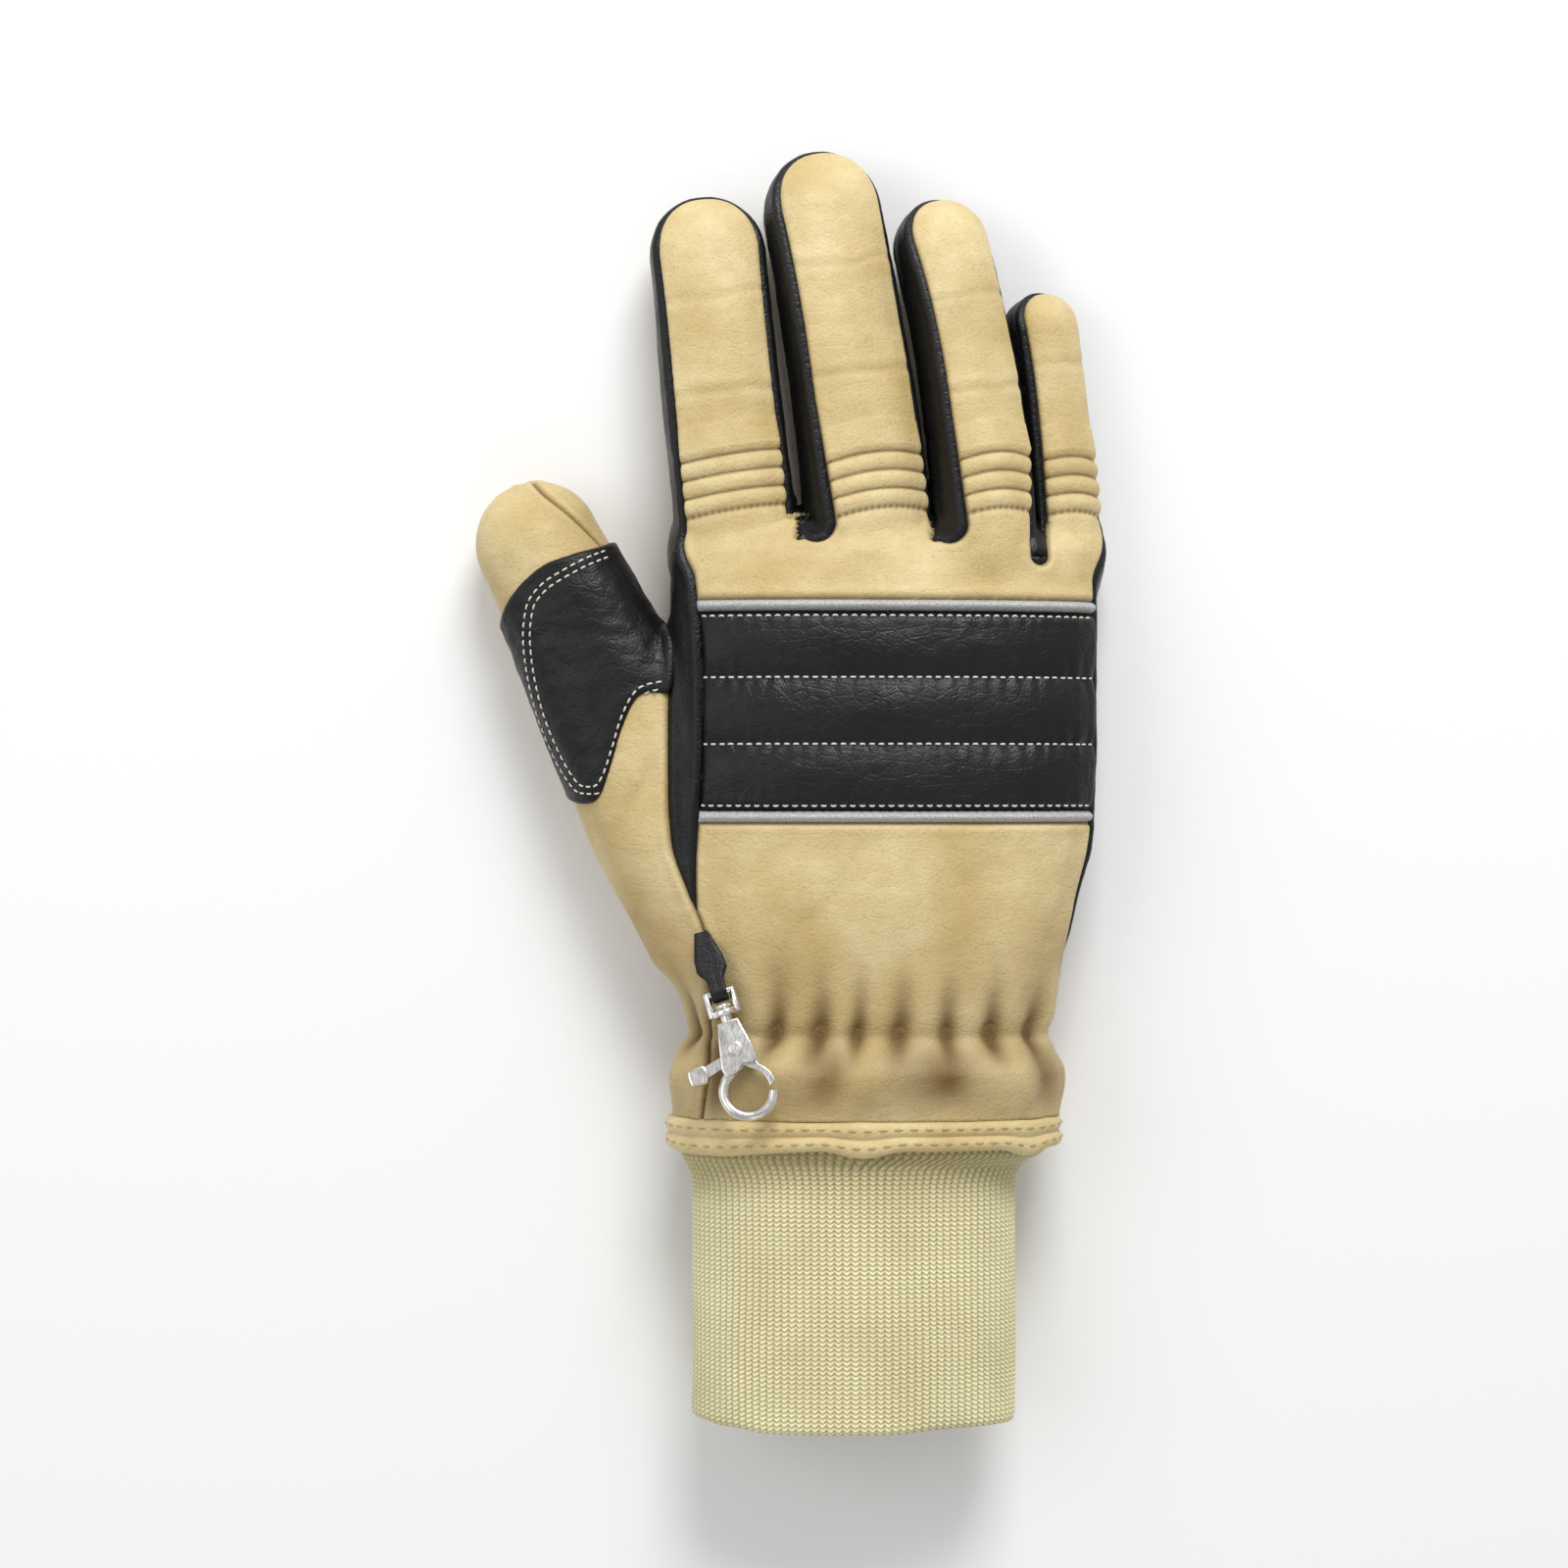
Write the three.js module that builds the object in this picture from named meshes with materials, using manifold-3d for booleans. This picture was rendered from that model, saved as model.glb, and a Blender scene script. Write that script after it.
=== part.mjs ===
// Firefighter glove for the right hand, lying palm down. Millimetres, +Y towards the fingertips, +Z up.
import * as THREE from 'three';
import { mergeVertices } from 'three/addons/utils/BufferGeometryUtils.js';
import Module from 'manifold-3d';

const wasm = await Module();
wasm.setup();

// Main sizes of the hand
const palmWidth = 115.4;
const palmDepth = 43;
const bodyLength = 154;
const leatherWall = 2.6;
const seamGap = 0.3;

// Fingers, each measured from the crotch line
const fingerWidth = 33;
const fingerDepth = 25.5;
const indexLength = 94;
const middleLength = 106;
const ringLength = 93;
const littleLength = 68;
const fingerRoot = 13;
const fingerDroop = 2.2;
const ribPitch = 4.9;
const ribRise = 1.2;
const ribStart = 8;
const ribCount = 4;
const sleeveMargin = 0.2;

// Thumb
const thumbLength = 158;
const thumbWidth = 34.5;
const thumbDepth = 28;

// Back of the hand
const padRise = 1.7;
const padLength = 53.2;
const padTop = 134.6;
const padChannels = 3;
const pipingWidth = 3;
const pipingRise = 0.9;

// Wrist
const gatherFromHem = 22;
const puckerDepth = 1.1;
const puckerReach = 9;
const lobeRise = 1.6;
const lobeWaves = 8;
const hemLength = 9.5;
const hemRoll = 0.7;
const hemWave = 0.8;
const cuffWidth = 86.5;
const cuffDepth = 43.6;
const cuffLength = 88;
const cuffTuck = 5;
const knitWall = 2.8;
const patchLeather = 1.6;
const pulsePatchLength = 66;
const pulsePatchWidth = 55;

// Strap and swivel hook
const strapWidth = 8.2;
const strapLeather = 1.5;
const strapLength = 17;
const hookYaw = 17.5;
const hookPitch = 15;
const hookLift = 45.2;
const hookThick = 4.4;
const hookRingRadius = 6.6;
const hookWire = 1.35;
const hookReach = 20.3;
const hookPlateWidth = 10;
const swivelPin = 1.5;
const swivelGap = 0.3;
const gateThick = 1.7;
const gateGap = 0.3;
const gatePivot = 8.9;
const leverReach = 12;
const rivetRadius = 1.1;

// Side label
const labelLength = 42;
const labelWidth = 11;
const labelThick = 1;

// How finely the rings are cut
const bodySegments = 28;
const fingerSegments = 12;
const thumbSegments = 12;
const liningSegments = 8;
const ringSegments = 20;
const rings = { finger: 2.5, thumb: 2.3, back: 2.35, palm: 3.1, cuff: 2.1 };

// Rows of the hand from the hem to past the finger crotches.
// along is a share of bodyLength, middle and half are shares of palmWidth, top and bottom of palmDepth.
const handRows = [
  { along: 0.0, middle: -0.045, half: 0.448, top: 1.09, bottom: 0.0, tilt: 0 },
  { along: 0.07, middle: -0.039, half: 0.446, top: 1.11, bottom: 0.0, tilt: 0 },
  { along: 0.11, middle: -0.036, half: 0.43, top: 1.04, bottom: 0.02, tilt: 0 },
  { along: 0.143, middle: -0.0325, half: 0.418, top: 0.98, bottom: 0.05, tilt: 0 },
  { along: 0.18, middle: -0.03, half: 0.426, top: 0.99, bottom: 0.03, tilt: 0.5 },
  { along: 0.25, middle: -0.03, half: 0.443, top: 1.01, bottom: 0.01, tilt: 1 },
  { along: 0.36, middle: -0.018, half: 0.47, top: 1.02, bottom: 0.0, tilt: 1.5 },
  { along: 0.5, middle: -0.004, half: 0.495, top: 1.02, bottom: 0.0, tilt: 2 },
  { along: 0.7, middle: 0.0, half: 0.5, top: 0.98, bottom: 0.0, tilt: 3 },
  { along: 0.89, middle: 0.003, half: 0.5, top: 0.92, bottom: 0.01, tilt: 4 },
  { along: 0.98, middle: 0.002, half: 0.497, top: 0.84, bottom: 0.04, tilt: 4 },
  { along: 1.025, middle: 0.0, half: 0.475, top: 0.66, bottom: 0.14, tilt: 4 },
  { along: 1.055, middle: 0.0, half: 0.42, top: 0.43, bottom: 0.34, tilt: 4 },
];

// The four fingers. place and shift are shares of palmWidth, low and high of palmDepth, wide of fingerWidth,
// deep of fingerDepth, bow is how much of the sideways shift comes late, and turn is the roll in degrees.
const fingers = [
  { name: 'index', length: indexLength, place: -0.342, shift: -0.083, bow: 0.0, wide: 0.985, deep: 1.0,
    low: 0.445, high: 0.3, turn: 5 },
  { name: 'middle', length: middleLength, place: -0.028, shift: -0.14, bow: 0.35, wide: 1.0, deep: 1.0,
    low: 0.505, high: 0.3, turn: 17 },
  { name: 'ring', length: ringLength, place: 0.238, shift: -0.13, bow: 0.75, wide: 0.785, deep: 0.95,
    low: 0.53, high: 0.29, turn: 24 },
  { name: 'little', length: littleLength, place: 0.419, shift: -0.057, bow: 0.6, wide: 0.585, deep: 0.84,
    low: 0.27, high: 0.25, turn: 26 },
];

// Shape of every finger from the crotch line to its tip: along is a share of the length.
const fingerRows = [
  { along: 0.0, wide: 1.02, deep: 1.08 },
  { along: 0.3, wide: 1.0, deep: 1.02 },
  { along: 0.6, wide: 0.97, deep: 0.98 },
  { along: 1.0, wide: 0.95, deep: 0.94 },
];
const tipRound = 0.5;
const tipRows = [0.0, 0.1, 0.4, 1.0];

// Edges of the side strips across a finger, as shares of its half depth: back edge and palm edge.
const stripRows = [
  { along: -0.5, back: 0.66, palm: -0.62 },
  { along: 0.6, back: 0.62, palm: -0.62 },
  { along: 0.85, back: 0.56, palm: -0.64 },
  { along: 1.0, back: 0.26, palm: -0.72 },
];

// Edges of the side strips on the hand, as insets from its outline, in shares of palmWidth.
const sideRows = [
  { along: 0.27, backLeft: 0.5, palmLeft: 0.02, backRight: 0.0, palmRight: 0.0 },
  { along: 0.325, backLeft: 0.5, palmLeft: 0.02, backRight: 0.006, palmRight: 0.014 },
  { along: 0.33, backLeft: 0.072, palmLeft: 0.02, backRight: 0.007, palmRight: 0.016 },
  { along: 0.4, backLeft: 0.073, palmLeft: 0.024, backRight: 0.01, palmRight: 0.028 },
  { along: 0.51, backLeft: 0.075, palmLeft: 0.026, backRight: 0.01, palmRight: 0.03 },
  { along: 0.77, backLeft: 0.07, palmLeft: 0.026, backRight: 0.01, palmRight: 0.03 },
  { along: 0.89, backLeft: 0.056, palmLeft: 0.026, backRight: 0.01, palmRight: 0.03 },
  { along: 1.02, backLeft: 0.034, palmLeft: 0.026, backRight: 0.012, palmRight: 0.03 },
];

// Middle line of the thumb, tip first: across is a share of palmWidth, along of bodyLength, rise of palmDepth.
const thumbLine = [
  { across: -0.877, along: 1.098, rise: 0.29 },
  { across: -0.81, along: 1.0, rise: 0.335 },
  { across: -0.663, along: 0.78, rise: 0.37 },
  { across: -0.498, along: 0.54, rise: 0.4 },
  { across: -0.351, along: 0.312, rise: 0.42 },
  { across: -0.3, along: 0.2, rise: 0.44 },
];
const thumbRows = [
  { along: 0.0, wide: 0.96, deep: 0.9, turn: -12 },
  { along: 0.16, wide: 1.0, deep: 0.98, turn: -12 },
  { along: 0.3, wide: 1.06, deep: 1.02, turn: -10 },
  { along: 0.5, wide: 1.26, deep: 1.12, turn: -6 },
  { along: 0.7, wide: 1.4, deep: 1.22, turn: 0 },
  { along: 0.86, wide: 1.34, deep: 1.26, turn: 0 },
  { along: 1.0, wide: 1.0, deep: 1.1, turn: 0 },
];

// Plan lines of the seams: across is a share of palmWidth from the middle of the hand, along of bodyLength.
const thumbSeamBack = [
  { across: -0.56, along: 1.3 },
  { across: -0.54, along: 0.93 },
  { across: -0.508, along: 0.845 },
  { across: -0.498, along: 0.8 },
  { across: -0.5, along: 0.7 },
  { across: -0.5, along: 0.57 },
  { across: -0.492, along: 0.475 },
  { across: -0.455, along: 0.39 },
  { across: -0.42, along: 0.33 },
  { across: -0.4, along: 0.27 },
  { across: -0.402, along: 0.143 },
  { across: -0.43, along: -0.06 },
];
const thumbSeamPalm = [
  { across: -0.56, along: 1.3 },
  { across: -0.54, along: 0.93 },
  { across: -0.508, along: 0.845 },
  { across: -0.46, along: 0.75 },
  { across: -0.385, along: 0.69 },
  { across: -0.28, along: 0.672 },
  { across: -0.235, along: 0.632 },
  { across: -0.216, along: 0.545 },
  { across: -0.222, along: 0.46 },
  { across: -0.233, along: 0.365 },
  { across: -0.29, along: 0.253 },
  { across: -0.248, along: 0.143 },
  { across: -0.29, along: -0.06 },
];
const thumbFrontLine = [
  { across: -0.87, along: 1.16 },
  { across: -0.82, along: 1.035 },
  { across: -0.79, along: 0.93 },
  { across: -0.73, along: 0.78 },
  { across: -0.64, along: 0.63 },
  { across: -0.505, along: 0.46 },
  { across: -0.41, along: 0.35 },
  { across: -0.29, along: 0.25 },
];
const thumbBackLine = [
  { across: -0.87, along: 1.16 },
  { across: -0.8, along: 1.09 },
  { across: -0.72, along: 1.04 },
  { across: -0.65, along: 0.985 },
  { across: -0.56, along: 0.87 },
  { across: -0.49, along: 0.77 },
];
const thumbPatchOutline = [
  { across: -0.65, along: 0.993 },
  { across: -0.72, along: 0.975 },
  { across: -0.8, along: 0.95 },
  { across: -0.875, along: 0.89 },
  { across: -0.9, along: 0.81 },
  { across: -0.89, along: 0.73 },
  { across: -0.86, along: 0.655 },
  { across: -0.8, along: 0.59 },
  { across: -0.725, along: 0.555 },
  { across: -0.69, along: 0.551 },
  { across: -0.645, along: 0.57 },
  { across: -0.605, along: 0.64 },
  { across: -0.585, along: 0.683 },
  { across: -0.505, along: 0.725 },
  { across: -0.49, along: 0.81 },
  { across: -0.51, along: 0.87 },
  { across: -0.57, along: 0.97 },
  { across: -0.62, along: 1.02 },
];

// Cuff rows from its tucked end to its free end: along is a share of cuffLength, wide of cuffWidth,
// deep of cuffDepth.
const cuffRows = [
  { along: 0.0, wide: 1.06, deep: 0.93 },
  { along: 0.165, wide: 1.1, deep: 0.975 },
  { along: 0.2, wide: 1.05, deep: 0.965 },
  { along: 0.27, wide: 1.0, deep: 0.96 },
  { along: 1.0, wide: 1.0, deep: 1.0 },
];
const cuffMiddle = -0.067;

// Value of one column of a table at a share along it.
function read(rows, column, share) {
  if (share <= rows[0].along) return rows[0][column];
  for (let i = 1; i < rows.length; i += 1) {
    const before = rows[i - 1];
    const after = rows[i];
    if (share <= after.along) {
      const part = (share - before.along) / (after.along - before.along);
      return before[column] + part * (after[column] - before[column]);
    }
  }
  return rows[rows.length - 1][column];
}

// Solid made from points and triangles that already share their corners.
function solidFrom(points, triangles) {
  const mesh = new wasm.Mesh({
    numProp: 3,
    vertProperties: new Float32Array(points.flatMap((p) => [p.x, p.y, p.z])),
    triVerts: new Uint32Array(triangles.flat()),
  });
  return new wasm.Manifold(mesh);
}

// Closed solid through rings of equally many points, with each end fanned to its middle.
function loft(ringList) {
  const count = ringList[0].length;
  const points = ringList.flat();
  const triangles = [];
  for (let r = 0; r + 1 < ringList.length; r += 1) {
    for (let j = 0; j < count; j += 1) {
      const a = r * count + j;
      const b = r * count + ((j + 1) % count);
      triangles.push([a, b, a + count], [b, b + count, a + count]);
    }
  }
  const last = (ringList.length - 1) * count;
  for (const [start, flip] of [[0, true], [last, false]]) {
    const middle = new THREE.Vector3();
    for (let j = 0; j < count; j += 1) middle.add(points[start + j]);
    points.push(middle.divideScalar(count));
    const hub = points.length - 1;
    for (let j = 0; j < count; j += 1) {
      const a = start + j;
      const b = start + ((j + 1) % count);
      triangles.push(flip ? [hub, b, a] : [hub, a, b]);
    }
  }
  const solid = solidFrom(points, triangles);
  return solid.volume() > 0 ? solid : solidFrom(points, triangles.map(([a, b, c]) => [a, c, b]));
}

// Solid of a three.js geometry.
function solidOf(geometry) {
  const bare = geometry.clone();
  bare.deleteAttribute('normal');
  bare.deleteAttribute('uv');
  const merged = mergeVertices(bare, 1e-4);
  const mesh = new wasm.Mesh({
    numProp: 3,
    vertProperties: new Float32Array(merged.attributes.position.array),
    triVerts: new Uint32Array(merged.index.array),
  });
  return new wasm.Manifold(mesh);
}

// Upright prism over a plan outline.
function prism(outline, low, high) {
  const shape = new THREE.Shape(outline.map((p) => new THREE.Vector2(p.x, p.y)));
  const geometry = new THREE.ExtrudeGeometry(shape, { depth: high - low, bevelEnabled: false, curveSegments: 12 });
  geometry.translate(0, 0, low);
  return solidOf(geometry);
}

// The largest body of a cut solid.
function largest(solid) {
  return solid.decompose().sort((a, b) => b.volume() - a.volume())[0];
}

function joined(solids) {
  return solids.reduce((sum, solid) => sum.add(solid));
}

const signedPower = (value, power) => Math.sign(value) * Math.abs(value) ** power;

// Point of a squared-off oval at an angle, across and up.
function ovalPoint(angle, across, up, power) {
  return { u: across * signedPower(Math.cos(angle), 2 / power), v: up * signedPower(Math.sin(angle), 2 / power) };
}

// Frame of a section: middle, direction across and direction up, with the section's roll.
function sectionFrame(middle, heading, roll) {
  const level = new THREE.Vector3(heading.y, -heading.x, 0).normalize();
  const upright = new THREE.Vector3(0, 0, 1);
  const turn = THREE.MathUtils.degToRad(roll);
  const across = level.clone().multiplyScalar(Math.cos(turn)).addScaledVector(upright, -Math.sin(turn));
  const up = level.clone().multiplyScalar(Math.sin(turn)).addScaledVector(upright, Math.cos(turn));
  return { middle, across, up };
}

function placed(frame, u, v, floor) {
  const point = frame.middle.clone().addScaledVector(frame.across, u).addScaledVector(frame.up, v);
  point.z = Math.max(point.z, floor);
  return point;
}

// Hand

const elasticAt = gatherFromHem;
const padBottom = padTop - padLength;
const channelLength = padLength / padChannels;
const pipingTop = padTop + pipingWidth;
const pipingBottom = padBottom - pipingWidth;

// How far the back of the hand stands out from its plain form: padded channels and piping.
function backRelief(y) {
  if (y > padBottom && y < padTop) {
    const inChannel = ((y - padBottom) / channelLength) % 1;
    return padRise * Math.sin(Math.PI * inChannel) ** 0.6;
  }
  const bead = [padTop, pipingBottom].find((start) => y > start && y < start + pipingWidth);
  if (bead === undefined) return 0;
  return pipingRise * Math.sin(Math.PI * (y - bead) / pipingWidth);
}

// Puckers of the elastic and the lobes between it and the hem.
function gatherRelief(y, angle) {
  const near = Math.exp(-(((y - elasticAt) / puckerReach) ** 2));
  const pucker = puckerDepth * near * Math.cos(angle * bodySegments / 2);
  const lobeWindow = y < elasticAt ? Math.sin(Math.PI * Math.max(y, 0) / elasticAt) : 0;
  const onBack = Math.max(0, Math.sin(angle));
  return pucker + lobeRise * lobeWindow * onBack * Math.cos(angle * lobeWaves);
}

function handRing(y, offset, detailed) {
  const share = y / bodyLength;
  const middle = read(handRows, 'middle', share) * palmWidth;
  const half = read(handRows, 'half', share) * palmWidth + offset;
  const top = read(handRows, 'top', share) * palmDepth + offset;
  const bottom = read(handRows, 'bottom', share) * palmDepth - offset;
  const centre = (top + bottom) / 2;
  const heading = new THREE.Vector3(0, 1, 0);
  const frame = sectionFrame(new THREE.Vector3(middle, y, centre), heading, read(handRows, 'tilt', share));
  const count = detailed ? bodySegments : ringSegments;
  const ring = [];
  for (let j = 0; j < count; j += 1) {
    const angle = (2 * Math.PI * j) / count;
    const upper = Math.sin(angle) >= 0;
    const oval = ovalPoint(angle, half, (top - bottom) / 2, upper ? rings.back : rings.palm);
    const swell = detailed ? gatherRelief(y, angle) : 0;
    const lift = detailed ? backRelief(y) * THREE.MathUtils.clamp(Math.sin(angle) * 3, 0, 1) : 0;
    const reach = Math.hypot(oval.u, oval.v);
    const grown = 1 + (swell + lift) / reach;
    ring.push(placed(frame, oval.u * grown, oval.v * grown, Math.max(0, -offset)));
  }
  return ring;
}

function handStations() {
  const list = handRows.map((row) => row.along * bodyLength);
  for (let c = 0; c < padChannels; c += 1) {
    for (const share of [0, 0.22, 0.78]) list.push(padBottom + (c + share) * channelLength);
  }
  list.push(padTop, pipingTop, pipingBottom, padTop + pipingWidth / 2, pipingBottom + pipingWidth / 2);
  list.push(elasticAt - puckerReach * 0.7, elasticAt + puckerReach * 0.7, elasticAt + puckerReach * 1.6);
  list.sort((a, b) => a - b);
  return list.filter((y, i) => i === 0 || y - list[i - 1] > pipingWidth / 3);
}

const handOuter = loft(handStations().map((y) => handRing(y, 0, true)));

// The space inside the hand, open at the wrist.
function handHollow() {
  const inside = handRows.map((row) => row.along * bodyLength).filter((y) => y < bodyLength * 1.03);
  const stations = [-hemLength - cuffLength, ...inside];
  return loft(stations.map((y) => handRing(Math.max(y, 0), -leatherWall, false).map((p) => {
    const moved = p.clone();
    if (y < 0) moved.y = y;
    else moved.y = Math.min(p.y, bodyLength * 1.055 - leatherWall);
    return moved;
  })));
}

// Fingers

function fingerPoint(finger, along) {
  const drift = (1 - finger.bow) * along + finger.bow * along * Math.abs(along);
  const x = (finger.place + finger.shift * drift) * palmWidth;
  const fall = Math.max(along, 0) ** fingerDroop;
  const z = (finger.low + (finger.high - finger.low) * fall) * palmDepth;
  return new THREE.Vector3(x, bodyLength + along * finger.length, z);
}

function fingerFrame(finger, along) {
  const step = 0.01;
  const heading = fingerPoint(finger, along + step).sub(fingerPoint(finger, along - step)).setZ(0);
  return sectionFrame(fingerPoint(finger, along), heading.normalize(), finger.turn);
}

function fingerHalves(finger, along) {
  return {
    across: (finger.wide * fingerWidth * read(fingerRows, 'wide', along)) / 2,
    up: (finger.deep * fingerDepth * read(fingerRows, 'deep', along)) / 2,
  };
}

// Stations along a finger as [share of length, size of the round tip].
function fingerStations(finger, offset, detailed) {
  const round = tipRound * finger.wide * fingerWidth;
  const list = [];
  const root = detailed ? -fingerRoot : -fingerRoot - leatherWall;
  list.push(root / finger.length, 0.0);
  if (detailed) {
    for (let r = 0; r <= 2 * ribCount; r += 1) list.push((ribStart + (r * ribPitch) / 2) / finger.length);
  }
  if (detailed) list.push(0.58);
  const stations = list.map((along) => [along, 1]);
  const tipEnd = finger.length + offset;
  const tips = detailed ? tipRows : tipRows.filter((t, i) => i !== 1);
  for (const t of [...tips].reverse()) {
    const along = (tipEnd - t * round) / finger.length;
    stations.push([along, Math.max(0.05, Math.sqrt(1 - (1 - t) ** 2))]);
  }
  return stations;
}

function ribLift(finger, along) {
  const distance = along * finger.length - ribStart;
  if (distance < 0 || distance > ribCount * ribPitch) return 0;
  return ribRise * Math.abs(Math.sin((Math.PI * distance) / ribPitch));
}

function fingerRing(finger, along, round, offset, segments) {
  const halves = fingerHalves(finger, along);
  const frame = fingerFrame(finger, along);
  const detailed = segments === fingerSegments;
  const ring = [];
  for (let j = 0; j < segments; j += 1) {
    const angle = (2 * Math.PI * (j + 0.5)) / segments;
    const oval = ovalPoint(angle, (halves.across + offset) * round, (halves.up + offset) * round, rings.finger);
    const onBack = THREE.MathUtils.clamp(Math.sin(angle) * 2 - 0.3, 0, 1);
    const lift = detailed ? ribLift(finger, along) * onBack : 0;
    ring.push(placed(frame, oval.u, oval.v + lift, Math.max(0, -offset)));
  }
  return ring;
}

function fingerSolid(finger, offset, segments) {
  const stations = fingerStations(finger, offset, segments === fingerSegments);
  return loft(stations.map(([along, round]) => fingerRing(finger, along, round, offset, segments)));
}

// Region of a finger beyond the strip's back edge or its palm edge, grown or shrunk by a margin.
function fingerSide(finger, side, margin) {
  const shares = [-fingerRoot / finger.length, 0.3, 0.6, 0.85, 1.0, 1.0 + fingerRoot / finger.length];
  const slab = loft(shares.map((along) => {
    const halves = fingerHalves(finger, along);
    const frame = fingerFrame(finger, along);
    const sign = side === 'back' ? 1 : -1;
    const near = read(stripRows, side, along) * halves.up - sign * margin;
    const far = sign * halves.up * 2;
    const wide = halves.across * 1.5;
    const corners = [[-wide, near], [wide, near], [wide, far], [-wide, far]];
    return corners.map(([u, v]) => placed(frame, u, v, -Infinity));
  }));
  return slab.intersect(fingerSolid(finger, sleeveMargin, fingerSegments));
}

// Thumb

const thumbCurve = new THREE.CatmullRomCurve3(
  thumbLine.map((p) => new THREE.Vector3(p.across * palmWidth, p.along * bodyLength, p.rise * palmDepth)),
);

function thumbRing(along, round, offset, segments) {
  const share = THREE.MathUtils.clamp(along, 0, 1);
  const heading = thumbCurve.getTangentAt(share).setZ(0).negate().normalize();
  const middle = thumbCurve.getPointAt(share);
  const frame = sectionFrame(middle, heading, read(thumbRows, 'turn', share));
  const across = (thumbWidth / 2) * read(thumbRows, 'wide', share) + offset;
  const up = (thumbDepth / 2) * read(thumbRows, 'deep', share) + offset;
  const ring = [];
  for (let j = 0; j < segments; j += 1) {
    const oval = ovalPoint((2 * Math.PI * (j + 0.5)) / segments, across * round, up * round, rings.thumb);
    ring.push(placed(frame, oval.u, oval.v, Math.max(0, -offset)));
  }
  return ring;
}

function thumbSolid(offset, segments) {
  const round = thumbWidth / 2 + offset;
  const stations = tipRows.map((t) => [
    (t * round - offset) / thumbLength, Math.max(0.05, Math.sqrt(1 - (1 - t) ** 2)),
  ]);
  stations.push([0.24, 1], [0.4, 1], [0.55, 1], [0.7, 1], [0.84, 1], [0.99, 0.5]);
  return loft(stations.map(([along, size]) => thumbRing(along, size, offset, segments)));
}

// Seams

const farOut = palmWidth * 2;
const above = palmDepth * 2;
const below = -palmDepth;
const thumbSplit = palmDepth * 0.36;

function seamPoints(rows, shift) {
  return rows.map((row) => new THREE.Vector2(row.across * palmWidth + shift, row.along * bodyLength));
}

// Everything on the thumb's side of a seam line, with the line moved sideways by a shift.
function thumbSideOf(rows, shift, low, high) {
  const line = seamPoints(rows, shift);
  const first = line[0];
  const last = line[line.length - 1];
  return prism([new THREE.Vector2(-farOut, first.y), ...line, new THREE.Vector2(-farOut, last.y)], low, high);
}

function thumbRegion(shift) {
  const upper = thumbSideOf(thumbSeamBack, shift, below, above);
  const lower = thumbSideOf(thumbSeamPalm, shift, below, thumbSplit + shift);
  return upper.add(lower);
}

// Everything on the index finger's side of the thumb's own seam.
function frontRegion(shift) {
  const side = (rows) => {
    const line = seamPoints(rows, -shift);
    const first = line[0];
    const last = line[line.length - 1];
    return [...line, new THREE.Vector2(farOut, last.y), new THREE.Vector2(farOut, first.y)];
  };
  const lower = prism(side(thumbFrontLine), below, thumbSplit + shift);
  const upper = prism(side(thumbBackLine), below, above);
  return lower.add(upper);
}

// Height of the hand's surface at an inset from its outline.
function edgeHeight(y, inset, upper) {
  const share = y / bodyLength;
  const half = read(handRows, 'half', share) * palmWidth;
  const top = read(handRows, 'top', share) * palmDepth;
  const bottom = read(handRows, 'bottom', share) * palmDepth;
  const power = upper ? rings.back : rings.palm;
  const across = Math.max(0, 1 - inset / half);
  const up = ((top - bottom) / 2) * (1 - across ** power) ** (1 / power);
  return (top + bottom) / 2 + (upper ? up : -up);
}

// Region above the strips' back edges, or below their palm edges, over the hand itself.
function handSide(side, margin) {
  const webEnd = 1.08;
  const end = bodyLength * (side === 'back' ? 1.027 : webEnd);
  const shares = [-0.1, 0.26, ...sideRows.map((row) => row.along), webEnd];
  return loft(shares.map((share) => {
    const y = Math.min(share * bodyLength, end);
    const half = read(handRows, 'half', share) * palmWidth;
    const middle = read(handRows, 'middle', share) * palmWidth;
    const tilt = Math.sin(THREE.MathUtils.degToRad(read(handRows, 'tilt', share)));
    const upper = side === 'back';
    const sign = upper ? 1 : -1;
    const left = read(sideRows, `${side}Left`, share) * palmWidth;
    const right = read(sideRows, `${side}Right`, share) * palmWidth;
    const leftLow = side === 'back' && share < 0.328;
    const leftAt = (leftLow ? thumbSplit : edgeHeight(y, left, upper) + half * tilt) - sign * margin;
    const rightAt = edgeHeight(y, right, upper) - half * tilt - sign * margin;
    const far = upper ? above : below;
    const wide = half + palmWidth * 0.1;
    const slope = (rightAt - leftAt) / (2 * half);
    const edge = (x) => leftAt + slope * (x + half);
    return [
      new THREE.Vector3(middle - wide, y, edge(-wide)),
      new THREE.Vector3(middle + wide, y, edge(wide)),
      new THREE.Vector3(middle + wide, y, far),
      new THREE.Vector3(middle - wide, y, far),
    ];
  }));
}

// Round ends of the black troughs between the fingers on the back.
function troughEnds(margin) {
  const posts = [];
  for (let i = 0; i + 1 < fingers.length; i += 1) {
    const radius = (i === 2 ? 0.014 : 0.036) * palmWidth;
    const leftEdge = fingerEdge(fingers[i], 1);
    const rightEdge = fingerEdge(fingers[i + 1], -1);
    const geometry = new THREE.CylinderGeometry(radius - margin, radius - margin, above, 14);
    geometry.rotateX(Math.PI / 2);
    geometry.translate((leftEdge + rightEdge) / 2, bodyLength + radius, above / 2 + thumbSplit);
    posts.push(solidOf(geometry));
  }
  return joined(posts);
}

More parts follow.
